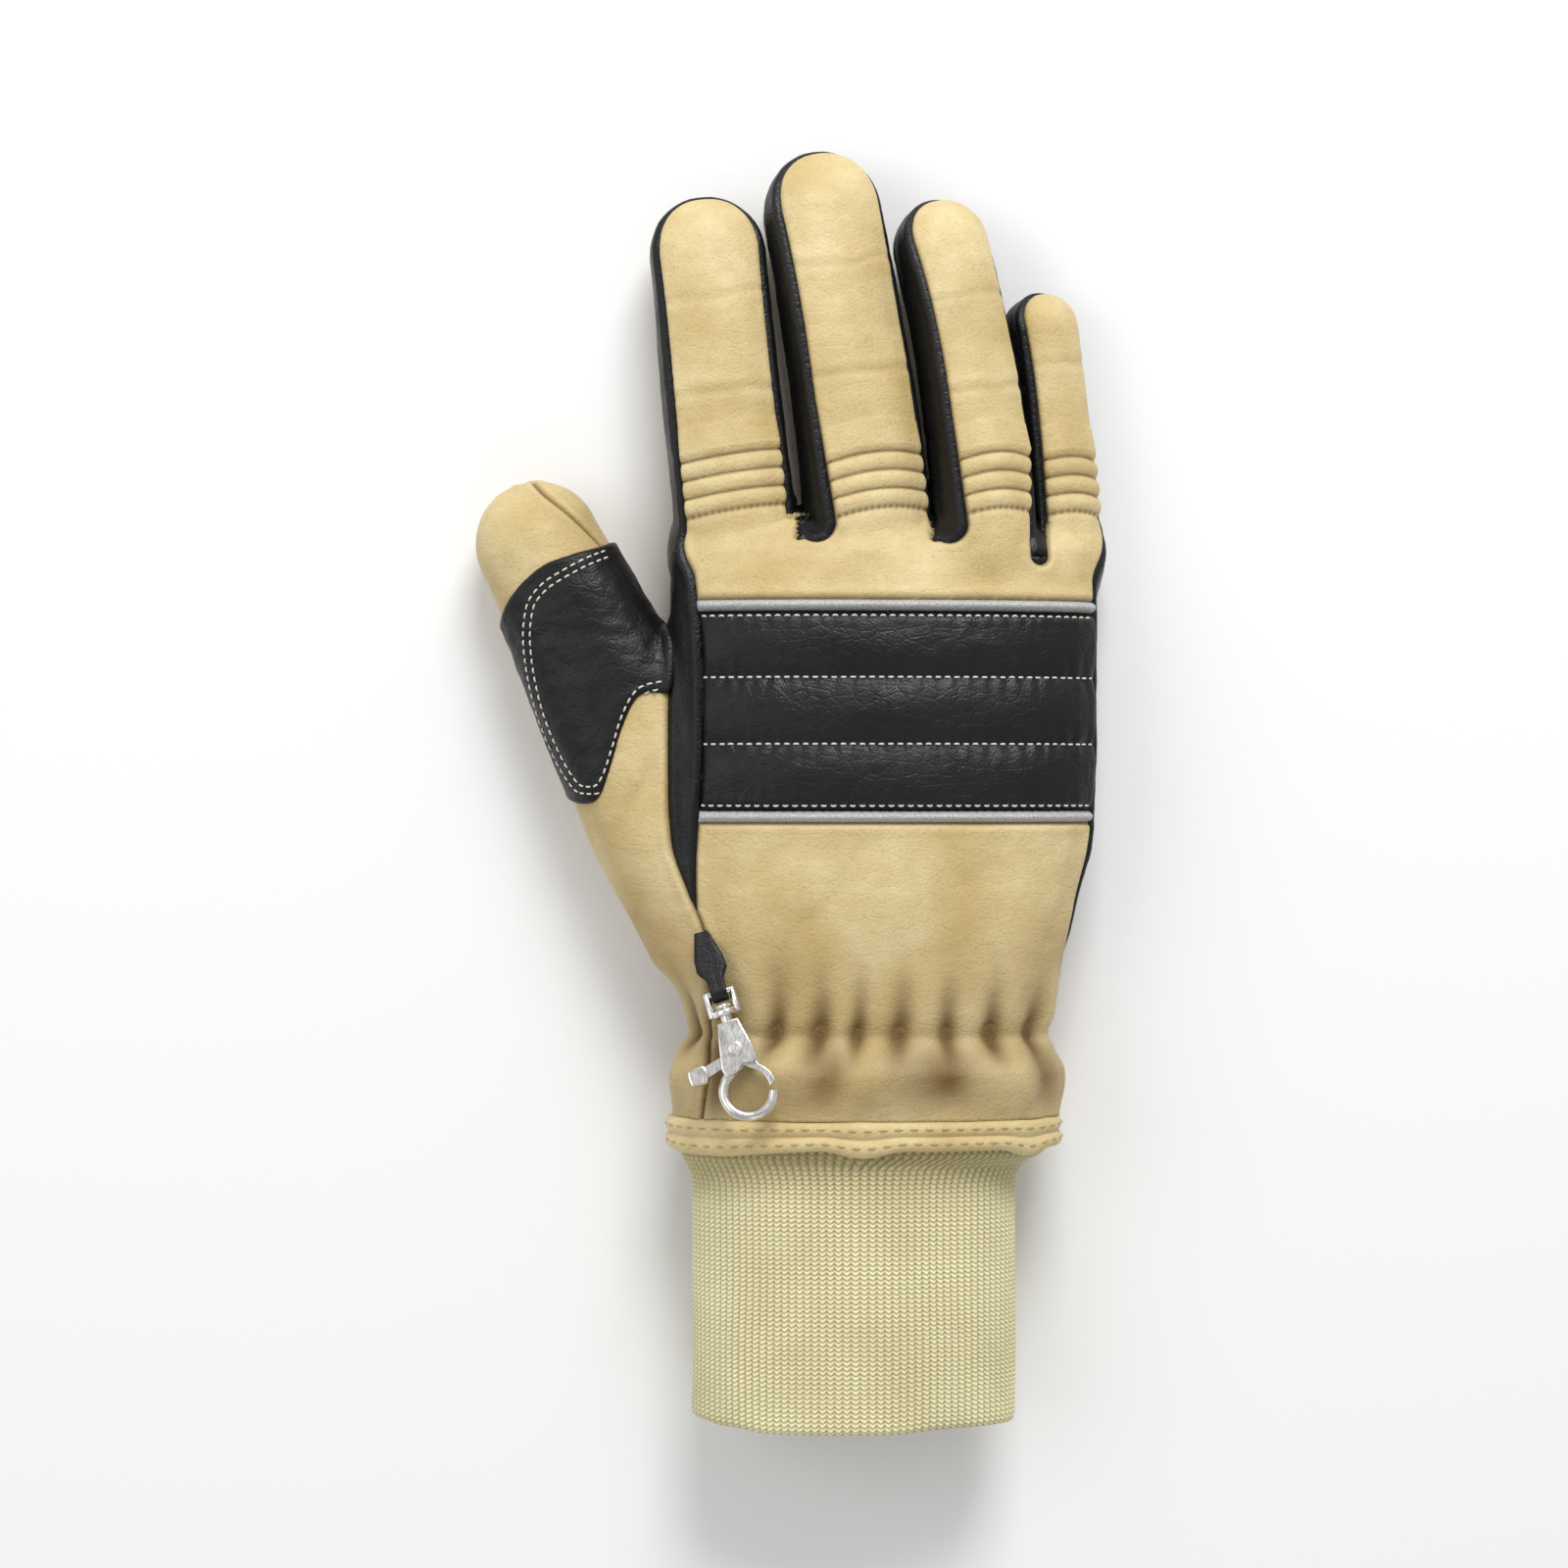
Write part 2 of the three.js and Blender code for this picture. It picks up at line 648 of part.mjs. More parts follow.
// Where a finger's back panel ends on one side, at the crotch line.
function fingerEdge(finger, sign) {
  const halves = fingerHalves(finger, 0);
  const frame = fingerFrame(finger, 0);
  const rise = read(stripRows, 'back', 0);
  const across = halves.across * (1 - rise ** rings.finger) ** (1 / rings.finger);
  return placed(frame, sign * across, rise * halves.up, 0).x;
}

function backRegion(margin) {
  const sides = fingers.map((finger) => fingerSide(finger, 'back', margin));
  return joined([handSide('back', margin), ...sides]).subtract(troughEnds(margin));
}

function palmRegion(margin) {
  const sides = fingers.map((finger) => fingerSide(finger, 'palm', margin));
  return joined([handSide('palm', margin), ...sides]);
}

// The leather shell of the whole glove
const outer = joined([handOuter, ...fingers.map((f) => fingerSolid(f, 0, fingerSegments)), thumbSolid(0, thumbSegments)]);
const hollow = joined([
  handHollow(),
  ...fingers.map((f) => fingerSolid(f, -leatherWall, liningSegments)),
  thumbSolid(-leatherWall, thumbSegments - 4),
]);
const shell = outer.subtract(hollow);
const half = seamGap / 2;

const handShell = shell.subtract(thumbRegion(half));
const thumbShell = largest(shell.intersect(thumbRegion(-half)));
const back = handShell.intersect(backRegion(-half));
const palm = handShell.intersect(palmRegion(-half));
const strips = handShell.subtract(backRegion(half)).subtract(palmRegion(half));

// Slice between two lines across the hand, each given at its thumb side and its outer side.
function across(lowLine, highLine) {
  const corners = [
    [-farOut, lowLine[0]], [farOut, lowLine[1]], [farOut, highLine[1]], [-farOut, highLine[0]],
  ];
  return prism(corners.map(([x, y]) => new THREE.Vector2(x, y)), below, above);
}

const pastTips = bodyLength + middleLength + fingerWidth;
const pastHem = -hemLength * 3;
const level = (y) => [y, y];
const lift = (line, by) => line.map((y) => y + by);

const backFingers = largest(back.intersect(across(level(pipingTop + half), level(pastTips))));
const pipingUpper = largest(back.intersect(across(level(padTop + half), level(pipingTop - half))));
const backPad = largest(back.intersect(across(level(padBottom + half), level(padTop - half))));
const pipingLower = largest(back.intersect(across(level(pipingBottom + half), level(padBottom - half))));
const gauntletBack = largest(back.intersect(across(level(pastHem), level(pipingBottom - half))));

// The palm patch's upper and lower edges run slightly aslant, in shares of bodyLength.
const patchUpper = [0.985, 0.877].map((share) => share * bodyLength);
const patchLower = [0.57, 0.17].map((share) => share * bodyLength);
const palmFingers = largest(palm.intersect(across(lift(patchUpper, half), level(pastTips))));
const palmPatch = largest(palm.intersect(across(lift(patchLower, half), lift(patchUpper, -half))));
const gauntletPalm = largest(palm.intersect(across(level(pastHem), lift(patchLower, -half))));

// Thin layer on the thumb side of a finger, where the web of its neighbour ends.
function webGap(finger) {
  const layer = fingerSolid(finger, seamGap, fingerSegments).subtract(fingerSolid(finger, 0, fingerSegments));
  const shares = [-fingerRoot / finger.length, 0.0, 0.3, 0.6, 1.0 + fingerRoot / finger.length];
  return layer.intersect(loft(shares.map((along) => {
    const halves = fingerHalves(finger, along);
    const frame = fingerFrame(finger, along);
    const corners = [[-halves.across, -halves.up], [0, -halves.up], [0, halves.up], [-halves.across, halves.up]];
    return corners.map(([u, v]) => placed(frame, u * 2, v * 2, -Infinity));
  })));
}

// Side strips, each with the web on its outer side
const webGaps = joined(fingers.slice(1).map(webGap));
const stripParts = strips.subtract(webGaps).decompose().sort((a, b) => b.volume() - a.volume());
const leftOf = (solid) => solid.boundingBox().min[0];
const fingerStrips = stripParts.slice(0, fingers.length).sort((a, b) => leftOf(a) - leftOf(b));

// Thumb pieces
const thumbFront = largest(thumbShell.intersect(frontRegion(-half)));
const thumbBack = largest(thumbShell.subtract(frontRegion(half)));

// Black patch laid over the back of the thumb
const patchBase = 0.3 * palmDepth;
const overThumb = thumbSolid(patchLeather + seamGap, thumbSegments).subtract(thumbSolid(seamGap, thumbSegments));
const patchPlan = prism(seamPoints(thumbPatchOutline, 0), patchBase, above);
const clearOfHand = loft(handStations().map((y) => handRing(y, seamGap, true)));
const thumbPatch = largest(overThumb.intersect(patchPlan).subtract(clearOfHand));

// Hem: a rolled ring with a groove round it and a slightly wavy free edge
const hemRows = [
  { along: 0.0, roll: 0.0 },
  { along: 0.2, roll: 1.0 },
  { along: 0.5, roll: 0.1 },
  { along: 0.8, roll: 1.0 },
  { along: 1.0, roll: 0.2 },
];
const hemWaves = 5;
const hem = loft(hemRows.map((row) => handRing(0, hemRoll * row.roll, false).map((point, j, ring) => {
  const wave = hemWave * row.along * (Math.cos((2 * Math.PI * hemWaves * j) / ring.length) - 1) / 2;
  return point.setY(-seamGap - row.along * (hemLength - seamGap) - wave);
})));
const hemEnds = [seamGap, -hemLength * 2];
const hemSpace = loft(hemEnds.map((y) => handRing(0, -leatherWall, false).map((point) => point.setY(y))));
const wristHem = hem.subtract(hemSpace);

// Knitted cuff, tucked inside the hem at one end
function cuffRing(along, offset) {
  const y = cuffTuck - along * cuffLength;
  if (y > -hemLength - seamGap) {
    const tucked = handRing(Math.max(y, 0), offset - leatherWall - seamGap, false);
    return tucked.map((point) => point.setY(y));
  }
  const across = (cuffWidth / 2) * read(cuffRows, 'wide', along) + offset;
  const deep = cuffDepth * read(cuffRows, 'deep', along);
  const low = patchLeather + seamGap;
  const frame = sectionFrame(new THREE.Vector3(cuffMiddle * palmWidth, y, low + deep / 2), new THREE.Vector3(0, 1, 0), 0);
  const ring = [];
  for (let j = 0; j < ringSegments; j += 1) {
    const oval = ovalPoint((2 * Math.PI * j) / ringSegments, across, deep / 2 + offset, rings.cuff);
    ring.push(placed(frame, oval.u, oval.v, 0));
  }
  return ring;
}

function cuffSolid(offset, pastEnd) {
  const shares = cuffRows.map((row) => row.along);
  const list = shares.map((share) => cuffRing(share, offset));
  const stretch = (ring, by) => ring.map((point) => point.clone().setY(point.y + by));
  return pastEnd ? loft([stretch(list[0], pastEnd), ...list, stretch(list[list.length - 1], -pastEnd)]) : loft(list);
}

const knitCuff = cuffSolid(0, 0).subtract(cuffSolid(-knitWall, seamGap));

// Black patch on the palm side of the cuff; across is a share of pulsePatchWidth, along of pulsePatchLength.
const pulseOutline = [
  { across: 0.0, along: 0.0 },
  { across: 1.0, along: 0.0 },
  { across: 0.98, along: 0.3 },
  { across: 0.9, along: 0.62 },
  { across: 0.78, along: 0.86 },
  { across: 0.62, along: 0.98 },
  { across: 0.48, along: 1.0 },
  { across: 0.3, along: 0.92 },
  { across: 0.14, along: 0.7 },
  { across: 0.03, along: 0.35 },
];
const pulseLeft = 0.356 * palmWidth;
const pulseTop = -hemLength - hemWave - seamGap;
const pulsePlan = prism(pulseOutline.map((row) => new THREE.Vector2(
  row.across * pulsePatchWidth - pulseLeft,
  pulseTop - row.along * pulsePatchLength,
)), below, cuffDepth / 3);
const pulseLayer = cuffSolid(patchLeather + seamGap, 0).subtract(cuffSolid(seamGap, seamGap));
const pulsePatch = largest(pulseLayer.intersect(pulsePlan));

// Label: a flat tab out of the outer side seam, hanging towards the floor
const labelStart = 0.31;
const labelDrop = new THREE.Vector3(0.36, 0, -0.93).normalize();
const labelFace = new THREE.Vector3(labelDrop.z, 0, -labelDrop.x).negate();
const labelRings = [0, 0.33, 0.66, 1].map((share) => {
  const y = labelStart * bodyLength + share * labelLength;
  const ring = handRing(y, seamGap + labelThick / 3, true);
  const seamAt = ring[ring.length - 2];
  const reach = Math.min(labelWidth, (seamAt.z - labelThick) / -labelDrop.z);
  return [[0, 0], [reach, 0], [reach, labelThick], [0, labelThick]].map(([down, out]) => (
    seamAt.clone().addScaledVector(labelDrop, down).addScaledVector(labelFace, out)
  ));
});
const sideLabel = loft(labelRings).subtract(clearOfHand);

// Swivel hook, drawn flat: x runs from the eye to the ring, y towards the outer side, z up
const hookPlace = new THREE.Matrix4()
  .makeTranslation(-0.361 * palmWidth, 0.175 * bodyLength, hookLift)
  .multiply(new THREE.Matrix4().makeRotationZ(THREE.MathUtils.degToRad(hookYaw - 90)))
  .multiply(new THREE.Matrix4().makeRotationY(THREE.MathUtils.degToRad(-hookPitch)));

function flatPlate(outline, low, high) {
  return prism(outline.map(([x, y]) => new THREE.Vector2(x, y)), low, high);
}

function rod(from, to, radius, sides) {
  const start = new THREE.Vector3(...from);
  const end = new THREE.Vector3(...to);
  const geometry = new THREE.CylinderGeometry(radius, radius, start.distanceTo(end), sides);
  const turn = new THREE.Quaternion().setFromUnitVectors(new THREE.Vector3(0, 1, 0), end.clone().sub(start).normalize());
  geometry.applyQuaternion(turn);
  geometry.translate(...start.lerp(end, 0.5).toArray());
  return solidOf(geometry);
}

const swivelBore = swivelPin + swivelGap;
const eyeWire = 0.9;
const eyeBar = -7.2;
const eyeHalf = 3.5;
const collarLow = -2.1;
const collarHigh = -0.5;
const collarRadius = 3.2;
const headLength = 1.4;
const headRadius = 2.1;
const plateTop = 1.2;

// Eye: a bar for the strap, two sides and the collar that the pin turns in
const hookEye = joined([
  rod([eyeBar, -eyeHalf - eyeWire / 2, 0], [eyeBar, eyeHalf + eyeWire / 2, 0], eyeWire, 8),
  rod([eyeBar - eyeWire / 2, -eyeHalf, 0], [collarHigh, -eyeHalf, 0], eyeWire, 8),
  rod([eyeBar - eyeWire / 2, eyeHalf, 0], [collarHigh, eyeHalf, 0], eyeWire, 8),
  rod([collarLow, 0, 0], [collarHigh, 0, 0], collarRadius, 12),
]).subtract(rod([collarLow * 2, 0, 0], [-collarLow, 0, 0], swivelBore, 12));

// Open ring as a bent rod between two angles
function bentRod(fromDegrees, toDegrees, radius, sides, steps) {
  const list = [];
  for (let i = 0; i <= steps; i += 1) {
    const angle = THREE.MathUtils.degToRad(fromDegrees + ((toDegrees - fromDegrees) * i) / steps);
    const outward = new THREE.Vector3(Math.cos(angle), Math.sin(angle), 0);
    const ring = [];
    for (let j = 0; j < sides; j += 1) {
      const turn = (2 * Math.PI * j) / sides;
      const point = outward.clone().multiplyScalar(hookRingRadius + radius * Math.cos(turn));
      ring.push(point.setZ(radius * Math.sin(turn)).add(new THREE.Vector3(hookReach, 0, 0)));
    }
    list.push(ring);
  }
  return loft(list);
}

const slotHalf = gateThick / 2 + gateGap;
const plateHalf = hookThick / 2;
const ringFrom = -158;
const ringTo = 76;
const slotStart = 5.8;
const ringRoot = 13.2;
const plateOutline = [
  [plateTop, -2.8], [gatePivot, -4.4], [ringRoot, -5.1], [ringRoot + 2.3, -4.6], [ringRoot + 2.1, -1.6],
  [ringRoot, 0.6], [ringRoot + 0.4, 3.4], [ringRoot - 0.6, 4.9], [gatePivot, 4.4], [plateTop, 2.8],
];
const slotOutline = [
  [slotStart, -hookPlateWidth], [ringRoot - 0.1, -hookPlateWidth], [ringRoot - 0.1, -2.9], [ringRoot + 1.4, -2],
  [ringRoot + 3, -0.8], [ringRoot + 3, hookPlateWidth], [slotStart, hookPlateWidth],
];
const rivetBore = rivetRadius + gateGap;
const hookBody = joined([
  flatPlate(plateOutline, -plateHalf, plateHalf).subtract(flatPlate(slotOutline, -slotHalf, slotHalf)),
  bentRod(ringFrom, ringTo, hookWire, 8, 12),
  rod([collarLow - swivelGap - headLength / 2, 0, 0], [plateTop + swivelGap, 0, 0], swivelPin, 12),
  rod([collarLow - swivelGap - headLength, 0, 0], [collarLow - swivelGap, 0, 0], headRadius, 14),
]).subtract(rod([gatePivot, 0, -hookThick], [gatePivot, 0, hookThick], rivetBore, 12));

// Gate: closing arm, hub on the rivet and thumb lever in one flat piece
function gateShape() {
  const shape = [];
  const arcPoint = (degrees, radius) => {
    const angle = THREE.MathUtils.degToRad(degrees);
    return [hookReach + radius * Math.cos(angle), radius * Math.sin(angle)];
  };
  const outerArc = [93, 101, 109, 117, 125, 133, 142].map((d) => arcPoint(d, hookRingRadius + gateThick / 2));
  const innerArc = [144, 132, 120, 108, 96, 85].map((d) => arcPoint(d, hookRingRadius - gateThick / 2));
  const hub = [130, 165, 200].map((degrees) => {
    const angle = THREE.MathUtils.degToRad(degrees);
    return [gatePivot + 2.5 * Math.cos(angle), 2.5 * Math.sin(angle)];
  });
  const lever = [[9.6, -4.4], [11.2, -leverReach + 1], [14.4, -leverReach + 1], [12.6, -4.4], [11.5, -1.6]];
  shape.push(...outerArc, ...hub, ...lever, ...innerArc);
  return shape;
}

const paddle = flatPlate([
  [10.6, -leverReach + 2.6], [10.6, -leverReach - 1.2], [11.6, -leverReach - 2], [13.9, -leverReach - 2],
  [14.9, -leverReach - 1.2], [14.9, -leverReach + 2.6],
], -gateThick * 0.8, gateThick * 0.8);
const hookGate = joined([flatPlate(gateShape(), -gateThick / 2, gateThick / 2), paddle])
  .subtract(rod([gatePivot, 0, -hookThick], [gatePivot, 0, hookThick], rivetBore, 12));

const rivetHead = 0.7;
const gateRivet = joined([-1, 1].map((side) => rod(
  [gatePivot, 0, side * (plateHalf + gateGap)], [gatePivot, 0, side * (plateHalf + gateGap + rivetHead)],
  rivetRadius * 1.7, 12,
)).concat([rod([gatePivot, 0, -plateHalf - gateGap * 2], [gatePivot, 0, plateHalf + gateGap * 2], rivetRadius, 12)]));

// Strap: a folded ribbon that closes round the eye's bar and runs down to the thumb-side seam
const strapInner = eyeWire + seamGap;
const strapOuter = strapInner + strapLeather;
const wrap = (radius, from, to) => {
  const list = [];
  for (let d = from; d <= to; d += 30) {
    const angle = THREE.MathUtils.degToRad(d);
    list.push([eyeBar + radius * Math.cos(angle), radius * Math.sin(angle)]);
  }
  return list;
};
const strapEnd = eyeBar - strapLength;
const strapProfile = [
  ...wrap(strapOuter, -120, 120), [eyeBar - strapOuter * 1.8, strapLeather], [strapEnd, -strapLeather * 0.2],
  [strapEnd - 1, -strapLeather * 2], [strapEnd + 1, -strapLeather * 2.4], [eyeBar - strapOuter * 1.8, -strapLeather],
];
const strapHole = [...wrap(strapInner, -120, 120), [eyeBar - strapOuter, 0]];
const sideways = (profile, halfWidth) => flatPlate(profile, -halfWidth, halfWidth).rotate([90, 0, 0]);
const strapPlan = flatPlate([
  [eyeBar - strapOuter * 1.4, -strapWidth * 0.275], [0, -strapWidth * 0.275], [0, strapWidth * 0.275],
  [eyeBar - strapOuter * 1.4, strapWidth * 0.275], [eyeBar - strapOuter * 2.4, strapWidth / 2],
  [strapEnd - strapWidth, strapWidth * 0.42], [strapEnd - strapWidth, -strapWidth * 0.42],
  [eyeBar - strapOuter * 2.4, -strapWidth / 2],
], -palmDepth, palmDepth);
const strapFlat = sideways(strapProfile, strapWidth).subtract(sideways(strapHole, strapWidth * 2)).intersect(strapPlan);

const placedHook = (solid) => solid.transform(hookPlace.toArray());
const strapLoop = largest(placedHook(strapFlat).subtract(clearOfHand));

const tan = { color: 0xd9c79a, roughness: 0.75, metalness: 0 };
const black = { color: 0x202022, roughness: 0.55, metalness: 0 };
const grey = { color: 0xb4b4b2, roughness: 0.35, metalness: 0 };
const knit = { color: 0xddd6a6, roughness: 0.9, metalness: 0 };
const nickel = { color: 0xb9bbbd, roughness: 0.3, metalness: 1 };

const pieces = [
  ['back_fingers', backFingers, tan],
  ['piping_upper', pipingUpper, grey],
  ['back_pad', backPad, black],
  ['piping_lower', pipingLower, grey],
  ['gauntlet_back', gauntletBack, tan],
  ['palm_fingers', palmFingers, tan],
  ['palm_patch', palmPatch, black],
  ['gauntlet_palm', gauntletPalm, tan],
  ...fingers.map((finger, i) => [`strip_${finger.name}`, fingerStrips[i], black]),
  ['thumb_front', thumbFront, tan],
  ['thumb_back', thumbBack, tan],
  ['thumb_patch', thumbPatch, black],
  ['wrist_hem', wristHem, tan],
  ['knit_cuff', knitCuff, knit],
  ['pulse_patch', pulsePatch, black],
  ['side_label', sideLabel, black],
  ['strap_loop', strapLoop, black],
  ['hook_eye', placedHook(hookEye), nickel],
  ['hook_body', placedHook(hookBody), nickel],
  ['hook_gate', placedHook(hookGate), nickel],
  ['gate_rivet', placedHook(gateRivet), nickel],
];

const glove = new THREE.Group();
for (const [name, solid, look] of pieces) {
  const mesh = solid.getMesh();
  const geometry = new THREE.BufferGeometry();
  geometry.setAttribute('position', new THREE.BufferAttribute(mesh.vertProperties, 3));
  geometry.setIndex(new THREE.BufferAttribute(mesh.triVerts, 1));
  const piece = new THREE.Mesh(geometry, new THREE.MeshStandardMaterial(look));
  piece.name = name;
  glove.add(piece);
}

// The middle of the glove's plan stands over the origin, on the floor
const box = new THREE.Box3().setFromObject(glove);
const centre = box.getCenter(new THREE.Vector3());
for (const piece of glove.children) {
  piece.geometry.translate(-centre.x, -centre.y, -box.min.z);
  piece.geometry.computeVertexNormals();
}

export default glove;
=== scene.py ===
"""Firefighter glove for the right hand, dressed in leather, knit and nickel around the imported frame."""
from __future__ import annotations

import logging
import math
from dataclasses import dataclass
from enum import Enum
from typing import Callable, Sequence

import bmesh
import bpy
import numpy as np
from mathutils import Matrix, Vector
from mathutils.bvhtree import BVHTree
from mathutils.kdtree import KDTree


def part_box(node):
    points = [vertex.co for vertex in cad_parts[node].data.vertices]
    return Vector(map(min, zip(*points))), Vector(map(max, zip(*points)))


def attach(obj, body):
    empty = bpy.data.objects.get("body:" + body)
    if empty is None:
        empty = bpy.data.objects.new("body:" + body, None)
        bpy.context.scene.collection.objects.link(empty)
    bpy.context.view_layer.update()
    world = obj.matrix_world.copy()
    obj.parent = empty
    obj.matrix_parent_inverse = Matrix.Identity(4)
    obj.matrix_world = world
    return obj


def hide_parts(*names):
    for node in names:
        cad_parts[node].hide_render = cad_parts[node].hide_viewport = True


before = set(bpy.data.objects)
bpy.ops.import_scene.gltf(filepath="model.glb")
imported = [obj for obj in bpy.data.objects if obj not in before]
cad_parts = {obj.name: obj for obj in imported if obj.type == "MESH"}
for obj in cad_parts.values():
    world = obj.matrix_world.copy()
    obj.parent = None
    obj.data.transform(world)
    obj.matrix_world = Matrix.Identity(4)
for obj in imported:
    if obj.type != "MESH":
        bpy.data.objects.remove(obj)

log = logging.getLogger("glove")
Array = np.ndarray
ROOT = "glove"
FAR = 1.0e3


class Part(Enum):
    """Leather panels of the hand, each named as its node in the frame."""

    BACK_FINGERS = "back_fingers"
    PIPING_UPPER = "piping_upper"
    BACK_PAD = "back_pad"
    PIPING_LOWER = "piping_lower"
    GAUNTLET_BACK = "gauntlet_back"
    PALM_FINGERS = "palm_fingers"
    PALM_PATCH = "palm_patch"
    GAUNTLET_PALM = "gauntlet_palm"
    STRIP_INDEX = "strip_index"
    STRIP_MIDDLE = "strip_middle"
    STRIP_RING = "strip_ring"
    STRIP_LITTLE = "strip_little"
    THUMB_FRONT = "thumb_front"
    THUMB_BACK = "thumb_back"


PARTS = list(Part)
STRIPS = (Part.STRIP_INDEX, Part.STRIP_MIDDLE, Part.STRIP_RING, Part.STRIP_LITTLE)
BLACK = STRIPS + (Part.BACK_PAD, Part.PALM_PATCH)


def number(part: Part) -> int:
    """Gives a panel's place in the list of panels."""
    return PARTS.index(part)


def smooth_step(low: float, high: float, value: Array) -> Array:
    """Rises smoothly from 0 at low to 1 at high."""
    share = np.clip((value - low) / (high - low), 0.0, 1.0)
    return share * share * (3.0 - 2.0 * share)


def bell(value: Array, width: float) -> Array:
    """Gives a smooth bump of height 1 round zero."""
    return np.exp(-((value / width) ** 2))


def smooth_min(one: Array, other: Array, reach: float | Array) -> Array:
    """Joins two distance fields with a rounded inner corner."""
    blend = np.maximum(reach - np.abs(one - other), 0.0) / reach
    return np.minimum(one, other) - blend * blend * reach * 0.25


class Curve:
    """Smooth curve through a short table, read at any share along it."""

    def __init__(self, along: Sequence[float], values: Sequence[float]) -> None:
        """Keeps the table and works out a slope at each row.

        Args:
            along: places of the rows, rising.
            values: values at the rows.
        """
        self.along = np.asarray(along, dtype=float)
        self.values = np.asarray(values, dtype=float)
        rise = np.diff(self.values) / np.diff(self.along)
        slopes = np.empty_like(self.values)
        slopes[0], slopes[-1] = rise[0], rise[-1]
        before, after = rise[:-1], rise[1:]
        total = np.where(np.abs(before + after) < 1e-9, 1.0, before + after)
        middle = np.where(before * after > 0.0, 2.0 * before * after / total, 0.0)
        slopes[1:-1] = middle
        self.slopes = slopes

    def __call__(self, share: Array) -> Array:
        """Reads the curve.

        Args:
            share: places along the table.

        Returns:
            The values there, held level beyond both ends.
        """
        place = np.clip(share, self.along[0], self.along[-1])
        index = np.clip(np.searchsorted(self.along, place, side="right") - 1, 0, len(self.along) - 2)
        step = self.along[index + 1] - self.along[index]
        t = (place - self.along[index]) / step
        t2, t3 = t * t, t * t * t
        return (
            (2 * t3 - 3 * t2 + 1) * self.values[index]
            + (t3 - 2 * t2 + t) * step * self.slopes[index]
            + (3 * t2 - 2 * t3) * self.values[index + 1]
            + (t3 - t2) * step * self.slopes[index + 1]
        )


class Noise:
    """Smooth noise in space, the same on each run."""

    def __init__(self, seed: int) -> None:
        """Fills the table of values from a fixed seed."""
        self.table = np.random.default_rng(seed).uniform(-1.0, 1.0, 4096)

    def __call__(self, points: Array, size: float) -> Array:
        """Reads the noise.

        Args:
            points: places, one row each, in millimetres.
            size: width of one bump in millimetres.

        Returns:
            Values from about -1 to 1.
        """
        scaled = points / size
        cell = np.floor(scaled).astype(np.int64)
        part = scaled - cell
        part = part * part * (3.0 - 2.0 * part)
        total = np.zeros(len(points))
        for corner in range(8):
            bits = np.array([corner & 1, (corner >> 1) & 1, (corner >> 2) & 1])
            at = cell + bits
            key = (at[:, 0] * 73856093) ^ (at[:, 1] * 19349663) ^ (at[:, 2] * 83492791)
            weight = np.prod(np.where(bits == 1, part, 1.0 - part), axis=1)
            total += weight * self.table[key & 4095]
        return total

    def rough(self, points: Array, size: float, layers: int = 3) -> Array:
        """Adds finer and fainter layers of the noise.

        Args:
            points: places, one row each, in millimetres.
            size: width of the broadest bumps.
            layers: how many layers are added.

        Returns:
            Values from about -1 to 1.
        """
        total = np.zeros(len(points))
        for layer in range(layers):
            total += self(points + 17.3 * layer, size / 2.1 ** layer) * 0.55 ** layer
        return total * 0.6


@dataclass(frozen=True)
class Finger:
    """One finger: length and place in millimetres from the middle of the crotch line."""

    length: float
    place: float
    shift: float
    bow: float
    across: float
    deep: float
    low: float
    high: float
    turn: float


